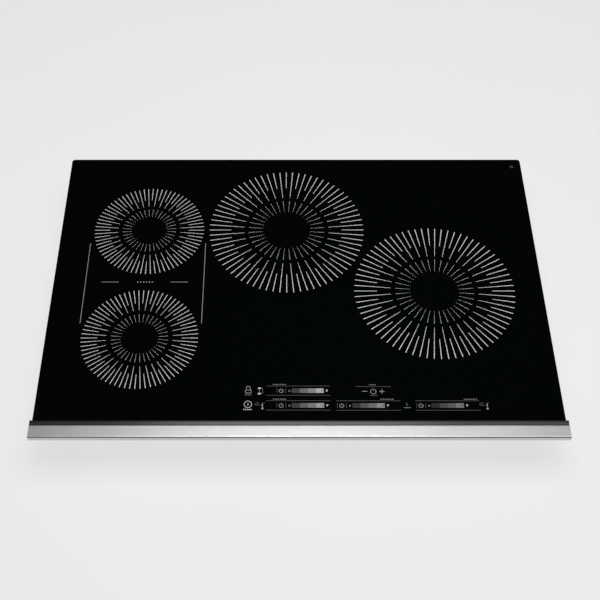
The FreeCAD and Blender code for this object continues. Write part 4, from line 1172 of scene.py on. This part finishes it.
for side, sign in (("left", -1), ("right", 1)):
    bracket = make_piece("hold_down_bracket_plate_" + side, *bracket_shape(sign), ZINC, "zinc")
    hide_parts("hold_down_bracket_" + side)
    stud_low, stud_high = cad_limits("clamp_screw_" + side)
    pad_low, pad_high = cad_limits("clamp_pad_" + side)
    middle = (stud_low + stud_high) / 2 * (1, 1, 0)
    points, faces = threaded_stud(stud_low[2], stud_high[2])
    stud = make_piece("clamp_stud_threaded_" + side, points + middle, faces, ZINC, "zinc",
                      "clamp_stud_" + side, crease=25.0)
    slot_half = (SLOT_REACH, SLOT_BREADTH / 2)
    driver_slot = rounded_outline(middle[:2] - slot_half, middle[:2] + slot_half, 0.05, 2)
    punched(stud, [prism(driver_slot, stud_low[2] - 1, stud_low[2] + SLOT_BREADTH * 1.5, 2)])
    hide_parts("clamp_screw_" + side)
    base, top = pad_low[2], pad_high[2]
    profile = ((2.2, base + 2.6), (2.1, base), (6.6, base), (7.2, base + 0.5), (7.4, base + 2.0),
               (8.0, base + 2.4), (8.0, top - 0.7), (7.3, top), (5.6, top), (5.2, top - 0.4),
               (4.4, top - 0.4), (4.0, top), (1.5, top))
    points, faces = turned(profile, 40)
    pad = make_piece("clamp_pad_cap_" + side, points + middle, faces, BLACK_PLASTIC, "plastic",
                     "clamp_head_" + side)
    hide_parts("clamp_pad_" + side)

SCREW_LEVEL = 32.0
SCREW_SPREAD = 14.0
HEAD_RADIUS, HEAD_THICK = 4.0, 2.5
SHANK_RADIUS, SHANK_LENGTH = 2.0, 6.0
points, faces = pan_head(HEAD_RADIUS, HEAD_THICK, SHANK_RADIUS, SHANK_LENGTH)
screws = []
for sign in (-1, 1):
    for way in (-1, 1):
        place = ((box_half + BRACKET_THICK) * sign, clamp_y + SCREW_SPREAD * way, SCREW_LEVEL)
        screws.append((laid_on_x(points, sign, place), faces))
screw_set = make_piece("bracket_screw_set", *joined(screws), ZINC, "zinc")
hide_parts("bracket_screws")


# ---- Studio --------------------------------------------------------------------------
# A plain pale floor with an even glow of its own, a dark sky with a pale band at the horizon,
# and a soft box straight overhead with a wing on each side. The glass mirrors the dark sky.
# Lengths in this section are metres.

FLOOR_GLOW = 0.70
FLOOR_LEVEL = -0.001
FLOOR_REACH = 6.0
PALE = tint(0.80, 0.81, 0.82)
ALMOST_BLACK = tint(0.005, 0.005, 0.0055)


def pale_floor():
    """A large square just under the box: a matt sheet that glows evenly, so that it stays pale
    in the shade of the box."""
    mesh = bpy.data.meshes.new("floor")
    corners = [(-FLOOR_REACH, -FLOOR_REACH), (FLOOR_REACH, -FLOOR_REACH),
               (FLOOR_REACH, FLOOR_REACH), (-FLOOR_REACH, FLOOR_REACH)]
    mesh.from_pydata([(x, y, FLOOR_LEVEL) for x, y in corners], [], [(0, 1, 2, 3)])
    material, shader, place = new_finish("pale_floor", {
        "Roughness": 0.9, "Specular IOR Level": 0.0, "Emission Color": tint(1.0, 1.0, 1.0),
        "Emission Strength": FLOOR_GLOW})
    place.feed(shader.inputs["Base Color"],
               place.noise(3.0, 2.0).blend(tint(0.19, 0.19, 0.19), tint(0.21, 0.21, 0.21)))
    mesh.materials.append(material)
    floor = in_scene("floor", mesh)


def soft_box(name, place, size, radiance):
    """A rectangular area light that faces straight down; its power is radiance * pi * area."""
    data = bpy.data.lights.new(name, "AREA")
    data.shape = "RECTANGLE"
    data.size, data.size_y = size
    data.energy = radiance * math.pi * size[0] * size[1]
    in_scene(name, data).location = place


def studio_world():
    """Bright near the horizon and almost black from a few degrees above it, for the light it
    gives. Seen straight, it is a plain pale backdrop."""
    world = bpy.data.worlds.new("studio")
    bpy.context.scene.world = world
    world.use_nodes = True
    tree = world.node_tree
    background = tree.nodes["Background"]
    direction = tree.nodes.new("ShaderNodeTexCoord")
    place = Shade(tree, direction.outputs["Generated"])
    height = place.node("ShaderNodeSeparateXYZ", None, {0: place}, 2)
    light = height.between(0.02, 0.16).blend(PALE, ALMOST_BLACK)
    seen = place.node("ShaderNodeLightPath", None, None, 0)
    place.feed(background.inputs["Color"], seen.blend(light, PALE))


pale_floor()
studio_world()
soft_box("overhead_box", (0.02, -0.1, 1.75), (0.85, 0.95), 7.1)
soft_box("right_wing", (0.85, -0.1, 1.75), (0.7, 0.95), 2.9)
soft_box("left_wing", (-0.85, -0.1, 1.75), (0.8, 0.95), 0.9)

# A long lens in front of the cooktop and high above it, tilted down towards its middle.
camera_data = bpy.data.cameras.new("camera")
camera_data.sensor_width = 36.0
camera_data.lens = 62.16
camera_data.shift_x = 0.0333
camera = in_scene("camera", camera_data)
camera.location = (-0.0276, -0.9583, glass_level / METRE + 1.3227)
camera.rotation_euler = (math.radians(35.125), 0.0, 0.0)
bpy.context.scene.camera = camera
bpy.context.scene.view_settings.view_transform = "Standard"
